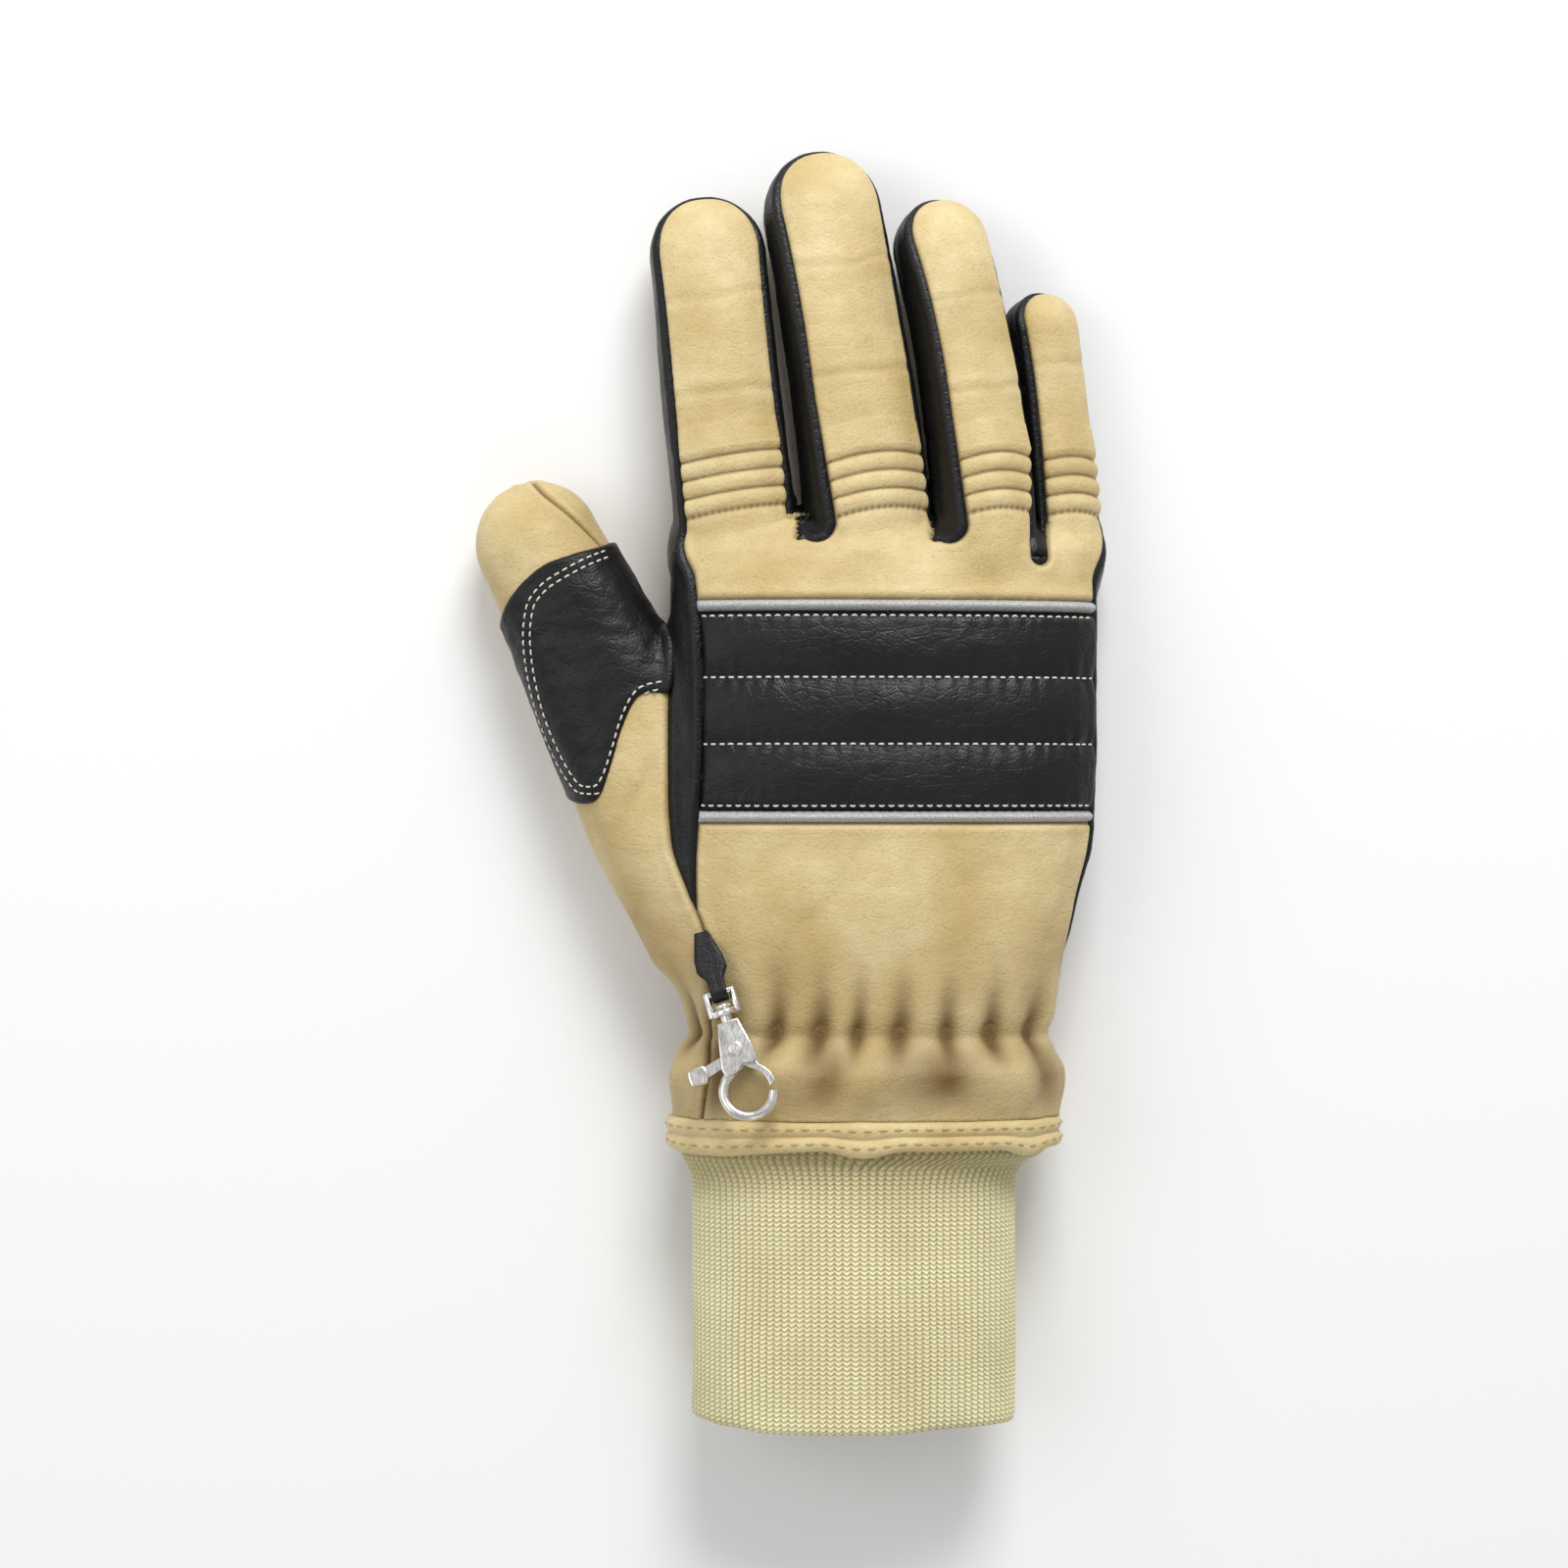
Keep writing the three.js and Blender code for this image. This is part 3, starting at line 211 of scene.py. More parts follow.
@dataclass
class GloveForm:
    """Plain form of the leather glove as distance fields, with the sizes of its solids."""

    palm_width: float = 115.4
    palm_depth: float = 43.0
    body_length: float = 154.0
    finger_width: float = 33.0
    finger_depth: float = 25.5
    finger_root: float = 13.0
    thumb_length: float = 158.0
    thumb_width: float = 34.5
    thumb_depth: float = 28.0
    hand_rows: tuple[tuple[float, ...], ...] = (
        (0.0, -0.045, 0.448, 1.09, 0.0, 0.0), (0.07, -0.039, 0.446, 1.11, 0.0, 0.0),
        (0.11, -0.036, 0.43, 1.04, 0.02, 0.0), (0.143, -0.0325, 0.418, 0.98, 0.05, 0.0),
        (0.18, -0.03, 0.426, 0.99, 0.03, 0.5), (0.25, -0.03, 0.443, 1.01, 0.01, 1.0),
        (0.36, -0.018, 0.47, 1.02, 0.0, 1.5), (0.5, -0.004, 0.495, 1.02, 0.0, 2.0),
        (0.7, 0.0, 0.5, 0.98, 0.0, 3.0), (0.89, 0.003, 0.5, 0.92, 0.01, 4.0),
        (0.98, 0.002, 0.497, 0.84, 0.04, 4.0), (1.025, 0.0, 0.475, 0.66, 0.14, 4.0),
        (1.055, 0.0, 0.42, 0.43, 0.34, 4.0),
    )
    finger_list: tuple[tuple[float, ...], ...] = (
        (94.0, -0.342, -0.083, 0.0, 0.985, 1.0, 0.445, 0.3, 5.0),
        (106.0, -0.028, -0.14, 0.35, 1.0, 1.0, 0.505, 0.3, 17.0),
        (93.0, 0.238, -0.13, 0.75, 0.785, 0.95, 0.53, 0.29, 24.0),
        (68.0, 0.419, -0.057, 0.6, 0.585, 0.84, 0.27, 0.25, 26.0),
    )
    finger_rows: tuple[tuple[float, ...], ...] = (
        (0.0, 1.02, 1.08), (0.3, 1.0, 1.02), (0.6, 0.97, 0.98), (1.0, 0.95, 0.94),
    )
    thumb_line: tuple[tuple[float, ...], ...] = (
        (-0.877, 1.098, 0.29), (-0.81, 1.0, 0.335), (-0.663, 0.78, 0.37),
        (-0.498, 0.54, 0.4), (-0.351, 0.312, 0.42), (-0.3, 0.2, 0.44),
    )
    thumb_rows: tuple[tuple[float, ...], ...] = (
        (0.0, 0.96, 0.9, -12.0), (0.16, 1.0, 0.98, -12.0), (0.3, 1.06, 1.02, -10.0), (0.5, 1.26, 1.12, -6.0),
        (0.7, 1.4, 1.22, 0.0), (0.86, 1.34, 1.26, 0.0), (1.0, 1.0, 1.1, 0.0),
    )
    strip_rows: tuple[tuple[float, ...], ...] = (
        (-0.5, 0.66, -0.62), (0.6, 0.62, -0.62), (0.85, 0.56, -0.64), (1.0, 0.26, -0.72),
    )
    side_rows: tuple[tuple[float, ...], ...] = (
        (0.27, 0.072, 0.02, 0.0, 0.0), (0.325, 0.072, 0.02, 0.006, 0.014), (0.345, 0.072, 0.02, 0.007, 0.016),
        (0.4, 0.073, 0.024, 0.01, 0.028), (0.51, 0.075, 0.026, 0.01, 0.03), (0.77, 0.07, 0.026, 0.01, 0.03),
        (0.89, 0.056, 0.026, 0.01, 0.03), (1.02, 0.034, 0.026, 0.012, 0.03),
    )
    cuff_start: float = 5.0
    cuff_length: float = 88.0
    cuff_middle: float = -0.067
    cuff_half: float = 47.575

    def __post_init__(self) -> None:
        """Reads the tables into curves and places the form in the frame."""
        self.hand = [Curve([r[0] for r in self.hand_rows], [r[k] for r in self.hand_rows]) for k in range(1, 6)]
        self.fingers = [Finger(*row) for row in self.finger_list]
        self.finger_wide = Curve([r[0] for r in self.finger_rows], [r[1] for r in self.finger_rows])
        self.finger_deep = Curve([r[0] for r in self.finger_rows], [r[2] for r in self.finger_rows])
        self.thumb = [Curve([r[0] for r in self.thumb_rows], [r[k] for r in self.thumb_rows]) for k in range(1, 4)]
        self.strip = [Curve([r[0] for r in self.strip_rows], [r[k] for r in self.strip_rows]) for k in (1, 2)]
        self.sides = [Curve([r[0] for r in self.side_rows], [r[k] for r in self.side_rows]) for k in range(1, 5)]
        low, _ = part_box("knit_cuff")
        self.shift = np.array([
            low[0] * 1000.0 - self.cuff_middle * self.palm_width + self.cuff_half,
            low[1] * 1000.0 + self.cuff_length - self.cuff_start,
            0.0,
        ])
        self.thumb_path = self._thumb_path(90)

    def to_frame(self, points: Array) -> Array:
        """Takes millimetres of the form to metres of the frame."""
        return (np.asarray(points, dtype=float) + self.shift) / 1000.0

    def _thumb_path(self, count: int) -> Array:
        """Draws the thumb's middle line, tip first, evenly spaced.

        Args:
            count: how many points are wanted.

        Returns:
            Points of the line.
        """
        scale = np.array([self.palm_width, self.body_length, self.palm_depth])
        knots = np.array(self.thumb_line) * scale
        step = np.concatenate([[0.0], np.cumsum(np.linalg.norm(np.diff(knots, axis=0), axis=1))])
        fine = np.linspace(0.0, step[-1], 600)
        line = np.stack([Curve(step, knots[:, k])(fine) for k in range(3)], axis=1)
        run = np.concatenate([[0.0], np.cumsum(np.linalg.norm(np.diff(line, axis=0), axis=1))])
        even = np.linspace(0.0, run[-1], count)
        return np.stack([np.interp(even, run, line[:, k]) for k in range(3)], axis=1)

    def hand_section(self, points: Array) -> tuple[Array, Array, Array, Array, Array]:
        """Finds points in the hand's sections.

        Args:
            points: places, one row each.

        Returns:
            Place across and up in the section, half width, half height and distance from the surface.
        """
        share = points[:, 1] / self.body_length
        middle, half, top, bottom, tilt = (curve(share) for curve in self.hand)
        half = half * self.palm_width
        turn = np.radians(tilt)
        centre = (top + bottom) * self.palm_depth / 2.0
        tall = (top - bottom) * self.palm_depth / 2.0
        dx = points[:, 0] - middle * self.palm_width
        dz = points[:, 2] - centre
        u = dx * np.cos(turn) - dz * np.sin(turn)
        v = dx * np.sin(turn) + dz * np.cos(turn)
        power = np.where(v >= 0.0, 2.35, 3.1)
        ratio = ((np.abs(u) / half) ** power + (np.abs(v) / tall) ** power + 1e-12) ** (1.0 / power)
        away = np.hypot(u, v) * (1.0 - 1.0 / ratio)
        away = np.maximum(away, points[:, 1] - self.body_length * 1.055)
        return u, v, half, tall, away

    def finger_middle(self, finger: Finger, along: Array) -> Array:
        """Gives points of a finger's middle line."""
        drift = (1.0 - finger.bow) * along + finger.bow * along * np.abs(along)
        fall = np.maximum(along, 0.0) ** 2.2
        return np.stack([
            (finger.place + finger.shift * drift) * self.palm_width,
            self.body_length + along * finger.length,
            (finger.low + (finger.high - finger.low) * fall) * self.palm_depth,
        ], axis=1)

    def finger_axes(self, finger: Finger, along: Array) -> tuple[Array, Array, Array]:
        """Gives the directions of a finger's sections: ahead, across and up.

        Args:
            finger: the finger.
            along: shares of its length.

        Returns:
            Three arrays of unit vectors.
        """
        ahead = self.finger_middle(finger, along + 0.01) - self.finger_middle(finger, along - 0.01)
        ahead[:, 2] = 0.0
        ahead /= np.linalg.norm(ahead, axis=1)[:, None]
        level = np.stack([ahead[:, 1], -ahead[:, 0], np.zeros(len(ahead))], axis=1)
        upright = np.array([0.0, 0.0, 1.0])
        turn = math.radians(finger.turn)
        across = level * math.cos(turn) - upright * math.sin(turn)
        up = level * math.sin(turn) + upright * math.cos(turn)
        return ahead, across, up

    def finger_section(self, finger: Finger, points: Array) -> tuple[Array, Array, Array, Array, Array, Array]:
        """Finds points in a finger's sections.

        Args:
            finger: the finger.
            points: places, one row each.

        Returns:
            Share along, place across and up, half width, half height and distance from the surface.
        """
        along = (points[:, 1] - self.body_length) / finger.length
        for _ in range(2):
            middle = self.finger_middle(finger, along)
            ahead, across, up = self.finger_axes(finger, along)
            along = along + ((points - middle) * ahead).sum(axis=1) * ahead[:, 1] / finger.length
        middle = self.finger_middle(finger, along)
        ahead, across, up = self.finger_axes(finger, along)
        offset = points - middle
        u = (offset * across).sum(axis=1)
        v = (offset * up).sum(axis=1)
        half = finger.across * self.finger_width * self.finger_wide(along) / 2.0
        tall = finger.deep * self.finger_depth * self.finger_deep(along) / 2.0
        tip = 0.5 * finger.across * self.finger_width
        end = np.maximum(0.0, 1.0 - (1.0 - along) * finger.length / tip)
        start = np.maximum(0.0, -(along * finger.length + 3.0) / (self.finger_root - 3.0))
        cap = np.maximum(end, start)
        flat = ((np.abs(u) / half) ** 2.5 + (np.abs(v) / tall) ** 2.5 + 1e-12) ** 0.4
        ratio = np.sqrt(flat ** 2 + cap ** 2)
        reach = np.sqrt(u ** 2 + v ** 2 + (cap * tip) ** 2)
        return along, u, v, half, tall, reach * (1.0 - 1.0 / ratio)

    def thumb_section(self, points: Array) -> tuple[Array, Array, Array, Array, Array, Array]:
        """Finds points in the thumb's sections.

        Args:
            points: places, one row each.

        Returns:
            Share along from the tip, place across and up, half width, half height and distance.
        """
        path = self.thumb_path
        best = np.full(len(points), np.inf)
        share = np.zeros(len(points))
        spans = np.diff(path[:, :2], axis=0)
        for i, span in enumerate(spans):
            relative = points[:, :2] - path[i, :2]
            low = -FAR if i == 0 else 0.0
            high = FAR if i == len(spans) - 1 else 1.0
            t = np.clip((relative @ span) / (span @ span), low, high)
            gap = ((relative - t[:, None] * span) ** 2).sum(axis=1)
            closer = gap < best
            best = np.where(closer, gap, best)
            share = np.where(closer, (i + t) / len(spans), share)
        held = np.clip(share, 0.0, 1.0)
        place = held * (len(path) - 1)
        middle = np.stack([np.interp(place, np.arange(len(path)), path[:, k]) for k in range(3)], axis=1)
        step = (path[np.clip(place.astype(int), 0, len(path) - 2)]
                - path[np.clip(place.astype(int) + 1, 1, len(path) - 1)])
        ahead = step * np.array([1.0, 1.0, 0.0])
        ahead /= np.linalg.norm(ahead, axis=1)[:, None]
        level = np.stack([ahead[:, 1], -ahead[:, 0], np.zeros(len(ahead))], axis=1)
        upright = np.array([0.0, 0.0, 1.0])
        wide, deep, roll = (curve(held) for curve in self.thumb)
        turn = np.radians(roll)[:, None]
        across = level * np.cos(turn) - upright * np.sin(turn)
        up = level * np.sin(turn) + upright * np.cos(turn)
        offset = points - middle
        u = (offset * across).sum(axis=1)
        v = (offset * up).sum(axis=1)
        half = self.thumb_width / 2.0 * wide
        tall = self.thumb_depth / 2.0 * deep
        tip = self.thumb_width / 2.0
        cap = np.maximum(0.0, 1.0 - share * self.thumb_length / tip)
        base = np.maximum(0.0, (share - 0.86) / 0.14)
        cap = np.maximum(cap, base)
        flat = ((np.abs(u) / half) ** 2.3 + (np.abs(v) / tall) ** 2.3 + 1e-12) ** (1.0 / 2.3)
        ratio = np.sqrt(flat ** 2 + cap ** 2)
        reach = np.sqrt(u ** 2 + v ** 2 + (cap * tip) ** 2)
        return share, u, v, half, tall, reach * (1.0 - 1.0 / ratio)

    def distance(self, points: Array) -> Array:
        """Gives the distance from the glove's smooth outer surface, negative inside it.

        Args:
            points: places, one row each.

        Returns:
            The distances.
        """
        away = np.full(len(points), FAR)
        near = points[:, 1] < self.body_length * 1.12
        away[near] = self.hand_section(points[near])[4]
        joined = np.full(len(points), FAR)
        for finger in self.fingers:
            middle = self.finger_middle(finger, (points[:, 1] - self.body_length) / finger.length)
            above = points[:, 1] > self.body_length - self.finger_root - 8.0
            near = above & (np.abs(points[:, 0] - middle[:, 0]) < 24.0)
            joined[near] = np.minimum(joined[near], self.finger_section(finger, points[near])[5])
        away = smooth_min(away, joined, 5.0 + 7.0 * smooth_step(-22.0, -8.0, -points[:, 2]))
        near = (points[:, 0] < -10.0) & (points[:, 1] < self.body_length * 1.25)
        thumb = np.full(len(points), FAR)
        thumb[near] = self.thumb_section(points[near])[5]
        away = smooth_min(away, thumb, 7.0)
        return -smooth_min(-away, points[:, 2], 1.5)

    def normals(self, points: Array) -> Array:
        """Gives the directions out of the surface.

        Args:
            points: places on or near the surface.

        Returns:
            Unit vectors.
        """
        step = 0.25
        slope = np.empty_like(points)
        for axis in range(3):
            shift = np.zeros(3)
            shift[axis] = step
            slope[:, axis] = self.distance(points + shift) - self.distance(points - shift)
        length = np.linalg.norm(slope, axis=1)[:, None]
        return slope / np.maximum(length, 1e-9)


class Skin:
    """Triangle mesh of the glove's outer surface, cut along its seams."""

    def __init__(self, verts: Array, tris: Array) -> None:
        """Keeps the mesh, with one label for each face."""
        self.verts = verts
        self.tris = tris
        self.label = np.zeros(len(tris), dtype=int)

    @classmethod
    def from_form(cls, form: GloveForm, cell: float) -> "Skin":
        """Meshes the form's surface on a grid and settles it onto the form.

        Args:
            form: the glove's form.
            cell: width of a grid cell in millimetres.

        Returns:
            The mesh.
        """
        low = np.array([-116.0, -4.0, -3.0])
        high = np.array([66.0, 266.0, 52.0])
        count = np.ceil((high - low) / cell).astype(int) + 1
        axes = [low[k] + cell * np.arange(count[k]) for k in range(3)]
        value = np.empty(tuple(count))
        for i, x in enumerate(axes[0]):
            grid = np.stack(np.meshgrid([x], axes[1], axes[2], indexing="ij"), axis=-1).reshape(-1, 3)
            value[i] = form.distance(grid).reshape(count[1], count[2])
        inside = value < 0.0
        corner = inside[:-1, :-1, :-1].astype(int)
        total = np.zeros_like(corner)
        for dx in (0, 1):
            for dy in (0, 1):
                for dz in (0, 1):
                    total += inside[dx:count[0] - 1 + dx, dy:count[1] - 1 + dy, dz:count[2] - 1 + dz]
        mixed = (total > 0) & (total < 8)
        index = -np.ones(mixed.shape, dtype=int)
        index[mixed] = np.arange(mixed.sum())
        cells = np.argwhere(mixed)
        sums = np.zeros((len(cells), 3))
        hits = np.zeros(len(cells))
        for axis in range(3):
            others = [k for k in range(3) if k != axis]
            for a in (0, 1):
                for b in (0, 1):
                    start = cells.copy()
                    start[:, others[0]] += a
                    start[:, others[1]] += b
                    end = start.copy()
                    end[:, axis] += 1
                    v0, v1 = value[tuple(start.T)], value[tuple(end.T)]
                    crossing = (v0 < 0.0) != (v1 < 0.0)
                    t = np.where(crossing, v0 / np.where(crossing, v0 - v1, 1.0), 0.0)
                    point = start.astype(float)
                    point[:, axis] += t
                    sums += np.where(crossing[:, None], point, 0.0)
                    hits += crossing
        verts = low + cell * sums / np.maximum(hits, 1.0)[:, None]
        quads = []
        for axis in range(3):
            o1, o2 = (axis + 1) % 3, (axis + 2) % 3
            first = [slice(None)] * 3
            second = [slice(None)] * 3
            first[axis], second[axis] = slice(0, -1), slice(1, None)
            change = inside[tuple(first)] != inside[tuple(second)]
            where = np.argwhere(change)
            where = where[(where[:, o1] > 0) & (where[:, o2] > 0)]
            where = where[(where[:, o1] < mixed.shape[o1]) & (where[:, o2] < mixed.shape[o2])]
            ring = []
            for da, db in ((0, 0), (-1, 0), (-1, -1), (0, -1)):
                at = where.copy()
                at[:, o1] += da
                at[:, o2] += db
                ring.append(index[tuple(at.T)])
            quad = np.stack(ring, axis=1)
            flip = ~inside[tuple(where.T)]
            quad[flip] = quad[flip][:, ::-1]
            quads.append(quad)
        quad = np.concatenate(quads)
        quad = quad[(quad >= 0).all(axis=1)]
        tris = np.concatenate([quad[:, [0, 1, 2]], quad[:, [0, 2, 3]]])
        skin = cls(verts, tris)
        for _ in range(3):
            skin.relax(0.5)
            skin.settle(form)
        return skin

    def edges(self) -> tuple[Array, Array]:
        """Lists the edges.

        Returns:
            Pairs of vertices, and the three edges of each face.
        """
        sides = np.sort(np.stack([self.tris, np.roll(self.tris, -1, axis=1)], axis=2).reshape(-1, 2), axis=1)
        key = sides[:, 0] * (len(self.verts) + 1) + sides[:, 1]
        unique, back = np.unique(key, return_inverse=True)
        pairs = np.stack([unique // (len(self.verts) + 1), unique % (len(self.verts) + 1)], axis=1)
        return pairs, back.reshape(-1, 3)

    def relax(self, share: float) -> None:
        """Moves each point part of the way to the middle of its neighbours."""
        pairs, _ = self.edges()
        total = np.zeros_like(self.verts)
        hits = np.zeros(len(self.verts))
        for a, b in ((0, 1), (1, 0)):
            np.add.at(total, pairs[:, a], self.verts[pairs[:, b]])
            np.add.at(hits, pairs[:, a], 1.0)
        middle = total / np.maximum(hits, 1.0)[:, None]
        self.verts = self.verts + share * (middle - self.verts)

    def settle(self, form: GloveForm) -> None:
        """Moves every point back onto the form's surface."""
        for _ in range(2):
            self.verts = self.verts - form.normals(self.verts) * form.distance(self.verts)[:, None] * 0.9

    def split(self, chosen: Array, share: Array) -> None:
        """Splits edges and the faces on them.

        Args:
            chosen: which edges are split.
            share: where along each edge, from its first vertex.
        """
        pairs, sides = self.edges()
        fresh = -np.ones(len(pairs), dtype=int)
        fresh[chosen] = len(self.verts) + np.arange(chosen.sum())
        ends = pairs[chosen]
        part = share[chosen][:, None]
        self.verts = np.concatenate([self.verts, self.verts[ends[:, 0]] * (1 - part) + self.verts[ends[:, 1]] * part])
        new = fresh[sides]
        split = new >= 0
        number_split = split.sum(axis=1)
        faces = [self.tris[number_split == 0]]
        labels = [self.label[number_split == 0]]

        def turned(mask: Array, turn: Callable[[Array], Array]) -> tuple[Array, Array, Array]:
            """Turns the chosen faces so that their split edges come in one order."""
            rows = np.nonzero(mask)[0]
            by = turn(split[rows])
            order = (np.arange(3)[None, :] + by[:, None]) % 3
            return (np.take_along_axis(self.tris[rows], order, 1), np.take_along_axis(new[rows], order, 1),
                    self.label[rows])

        v, e, lab = turned(number_split == 1, lambda s: np.argmax(s, axis=1))
        faces += [np.stack([v[:, 0], e[:, 0], v[:, 2]], axis=1), np.stack([e[:, 0], v[:, 1], v[:, 2]], axis=1)]
        labels += [lab, lab]
        v, e, lab = turned(number_split == 2, lambda s: (np.argmin(s, axis=1) + 1) % 3)
        faces += [
            np.stack([v[:, 1], e[:, 1], e[:, 0]], axis=1),
            np.stack([v[:, 0], e[:, 0], e[:, 1]], axis=1),
            np.stack([v[:, 0], e[:, 1], v[:, 2]], axis=1),
        ]
        labels += [lab, lab, lab]
        v, e, lab = turned(number_split == 3, lambda s: np.zeros(len(s), dtype=int))
        faces += [
            np.stack([v[:, 0], e[:, 0], e[:, 2]], axis=1), np.stack([v[:, 1], e[:, 1], e[:, 0]], axis=1),
            np.stack([v[:, 2], e[:, 2], e[:, 1]], axis=1), e,
        ]
        labels += [lab, lab, lab, lab]
        self.tris = np.concatenate(faces)
        self.label = np.concatenate(labels)

    def refine(self, wanted: Callable[[Array], Array]) -> None:
        """Halves the edges of the faces whose middles are wanted."""
        middle = self.verts[self.tris].mean(axis=1)
        mask = wanted(middle)
        pairs, sides = self.edges()
        chosen = np.zeros(len(pairs), dtype=bool)
        chosen[sides[mask].ravel()] = True
        self.split(chosen, np.full(len(pairs), 0.5))

    def cut(self, field_of: Callable[[Array], Array], within: Sequence[int], label_in: int) -> None:
        """Cuts faces along the zero line of a field and gives the positive side a new label.

        Args:
            field_of: field at given points.
            within: labels of the faces that may be cut.
            label_in: label that the positive side gets.
        """
        mask = np.isin(self.label, list(within))
        touched = np.unique(self.tris[mask])
        value = np.full(len(self.verts), np.nan)
        value[touched] = field_of(self.verts[touched])
        pairs, sides = self.edges()
        used = np.zeros(len(pairs), dtype=bool)
        used[sides[mask].ravel()] = True
        v0, v1 = value[pairs[:, 0]], value[pairs[:, 1]]
        crossing = used & (v0 * v1 < 0.0)
        share = np.where(crossing, v0 / np.where(crossing, v0 - v1, 1.0), 0.5)
        for end, near in ((0, crossing & (share < 0.22)), (1, crossing & (share > 0.78))):
            rows = np.nonzero(near)[0]
            at = pairs[rows, end]
            ends = self.verts[pairs[rows]]
            place = ends[:, 0] * (1 - share[rows])[:, None] + ends[:, 1] * share[rows][:, None]
            self.verts[at] = place
            value[at] = 0.0
        v0, v1 = value[pairs[:, 0]], value[pairs[:, 1]]
        crossing = used & (v0 * v1 < 0.0)
        share = np.where(crossing, v0 / np.where(crossing, v0 - v1, 1.0), 0.5)
        self.split(crossing, share)
        mask = np.isin(self.label, list(within))
        middle = self.verts[self.tris[mask]].mean(axis=1)
        rows = np.nonzero(mask)[0]
        self.label[rows[field_of(middle) > 0.0]] = label_in


@dataclass
class Seams:
    """Where the panels meet, as fields over the glove's surface."""

    form: GloveForm
    pad_top: float = 134.6
    pad_length: float = 53.2
    piping_width: float = 3.0
    thumb_split: float = 15.5
    thumb_foot: float = 0.328
    crotches: tuple[tuple[float, float, float, float], ...] = (
        (-17.9, 153.6, 4.8, -0.12), (17.7, 153.2, 4.4, -0.1), (42.2, 147.4, 2.3, -0.05),
    )
    patch_upper: tuple[float, float] = (0.985, 0.877)
    patch_lower: tuple[float, float] = (0.57, 0.17)
    seam_back: tuple[tuple[float, float], ...] = (
        (-0.56, 1.3), (-0.54, 0.93), (-0.508, 0.845), (-0.498, 0.8), (-0.5, 0.7), (-0.5, 0.57), (-0.492, 0.475),
        (-0.455, 0.39), (-0.42, 0.33), (-0.4, 0.27), (-0.402, 0.143), (-0.43, -0.06),
    )
    seam_palm: tuple[tuple[float, float], ...] = (
        (-0.56, 1.3), (-0.54, 0.93), (-0.508, 0.845), (-0.46, 0.75), (-0.385, 0.69), (-0.28, 0.672), (-0.235, 0.632),
        (-0.216, 0.545), (-0.222, 0.46), (-0.233, 0.365), (-0.29, 0.253), (-0.248, 0.143), (-0.29, -0.06),
    )
    front_line: tuple[tuple[float, float], ...] = (
        (-0.87, 1.16), (-0.82, 1.035), (-0.79, 0.93), (-0.73, 0.78), (-0.64, 0.63), (-0.505, 0.46), (-0.41, 0.35),
        (-0.29, 0.25),
    )
    back_line: tuple[tuple[float, float], ...] = (
        (-0.87, 1.16), (-0.8, 1.09), (-0.72, 1.04), (-0.65, 0.985), (-0.56, 0.87), (-0.49, 0.77),
    )

    def plan(self, rows: Sequence[tuple[float, float]]) -> Array:
        """Turns a table of shares into plan points in millimetres."""
        return np.array(rows) * np.array([self.form.palm_width, self.form.body_length])

    def side_of(self, rows: Sequence[tuple[float, float]], points: Array) -> Array:
        """Measures how far points lie on the thumb's side of a plan line.

        Args:
            rows: the line as shares.
            points: places.

        Returns:
            Plan distances, positive towards the thumb.
        """
        line = self.plan(rows)[::-1]
        heading = np.gradient(line, axis=0)
        heading /= np.linalg.norm(heading, axis=1)[:, None]
        at = Curve(line[:, 1], line[:, 0])(points[:, 1])
        lean = np.interp(points[:, 1], line[:, 1], heading[:, 1])
        return (at - points[:, 0]) * np.abs(lean)

    def thumb(self, points: Array) -> Array:
        """Is positive on the thumb's panels."""
        upper = self.side_of(self.seam_back, points)
        lower = self.side_of(self.seam_palm, points)
        return np.maximum(upper, np.minimum(lower, self.thumb_split - points[:, 2]))

    def thumb_front(self, points: Array) -> Array:
        """Is positive on the thumb's front panel."""
        upper = -self.side_of(self.back_line, points)
        upper = np.where(points[:, 1] < self.back_line[-1][1] * self.form.body_length, -FAR, upper)
        lower = -self.side_of(self.front_line, points)
        lower = np.minimum(lower, points[:, 1] - self.front_line[-1][1] * self.form.body_length)
        return np.maximum(upper, np.minimum(lower, self.thumb_split - points[:, 2]))

    def hand_edge(self, points: Array, upper: bool) -> Array:
        """Measures height past the side strips' edge over the hand itself.

        Args:
            points: places.
            upper: whether the back edge is meant.

        Returns:
            Distances, positive on the back or on the palm.
        """
        form = self.form
        share = points[:, 1] / form.body_length
        u, v, half, tall, _ = form.hand_section(points)
        side = 0 if upper else 1
        inset = np.where(u < 0.0, form.sides[side](share), form.sides[side + 2](share)) * form.palm_width
        power = 2.35 if upper else 3.1
        reach = np.clip(1.0 - inset / half, 0.0, 1.0)
        edge = tall * (1.0 - reach ** power) ** (1.0 / power)
        if not upper:
            return -v - edge
        beside_thumb = (u < 0.0) & (share < self.thumb_foot)
        return np.where(beside_thumb, points[:, 2] - self.thumb_split, v - edge)

    def finger_edge(self, finger: Finger, points: Array, upper: bool) -> Array:
        """Measures height past a finger strip's edge.

        Args:
            finger: the finger.
            points: places.
            upper: whether the back edge is meant.

        Returns:
            Distances, positive on the back or on the palm.
        """
        along, _, v, _, tall, _ = self.form.finger_section(finger, points)
        edge = self.form.strip[0 if upper else 1](along) * tall
        return v - edge if upper else edge - v

    def nearest(self, points: Array) -> tuple[Array, Array]:
        """Finds the nearest finger of each point.

        Args:
            points: places.

        Returns:
            Number of the finger, and its distance.
        """
        away = np.stack([self.form.finger_section(finger, points)[5] for finger in self.form.fingers], axis=1)
        return np.argmin(away, axis=1), away.min(axis=1)

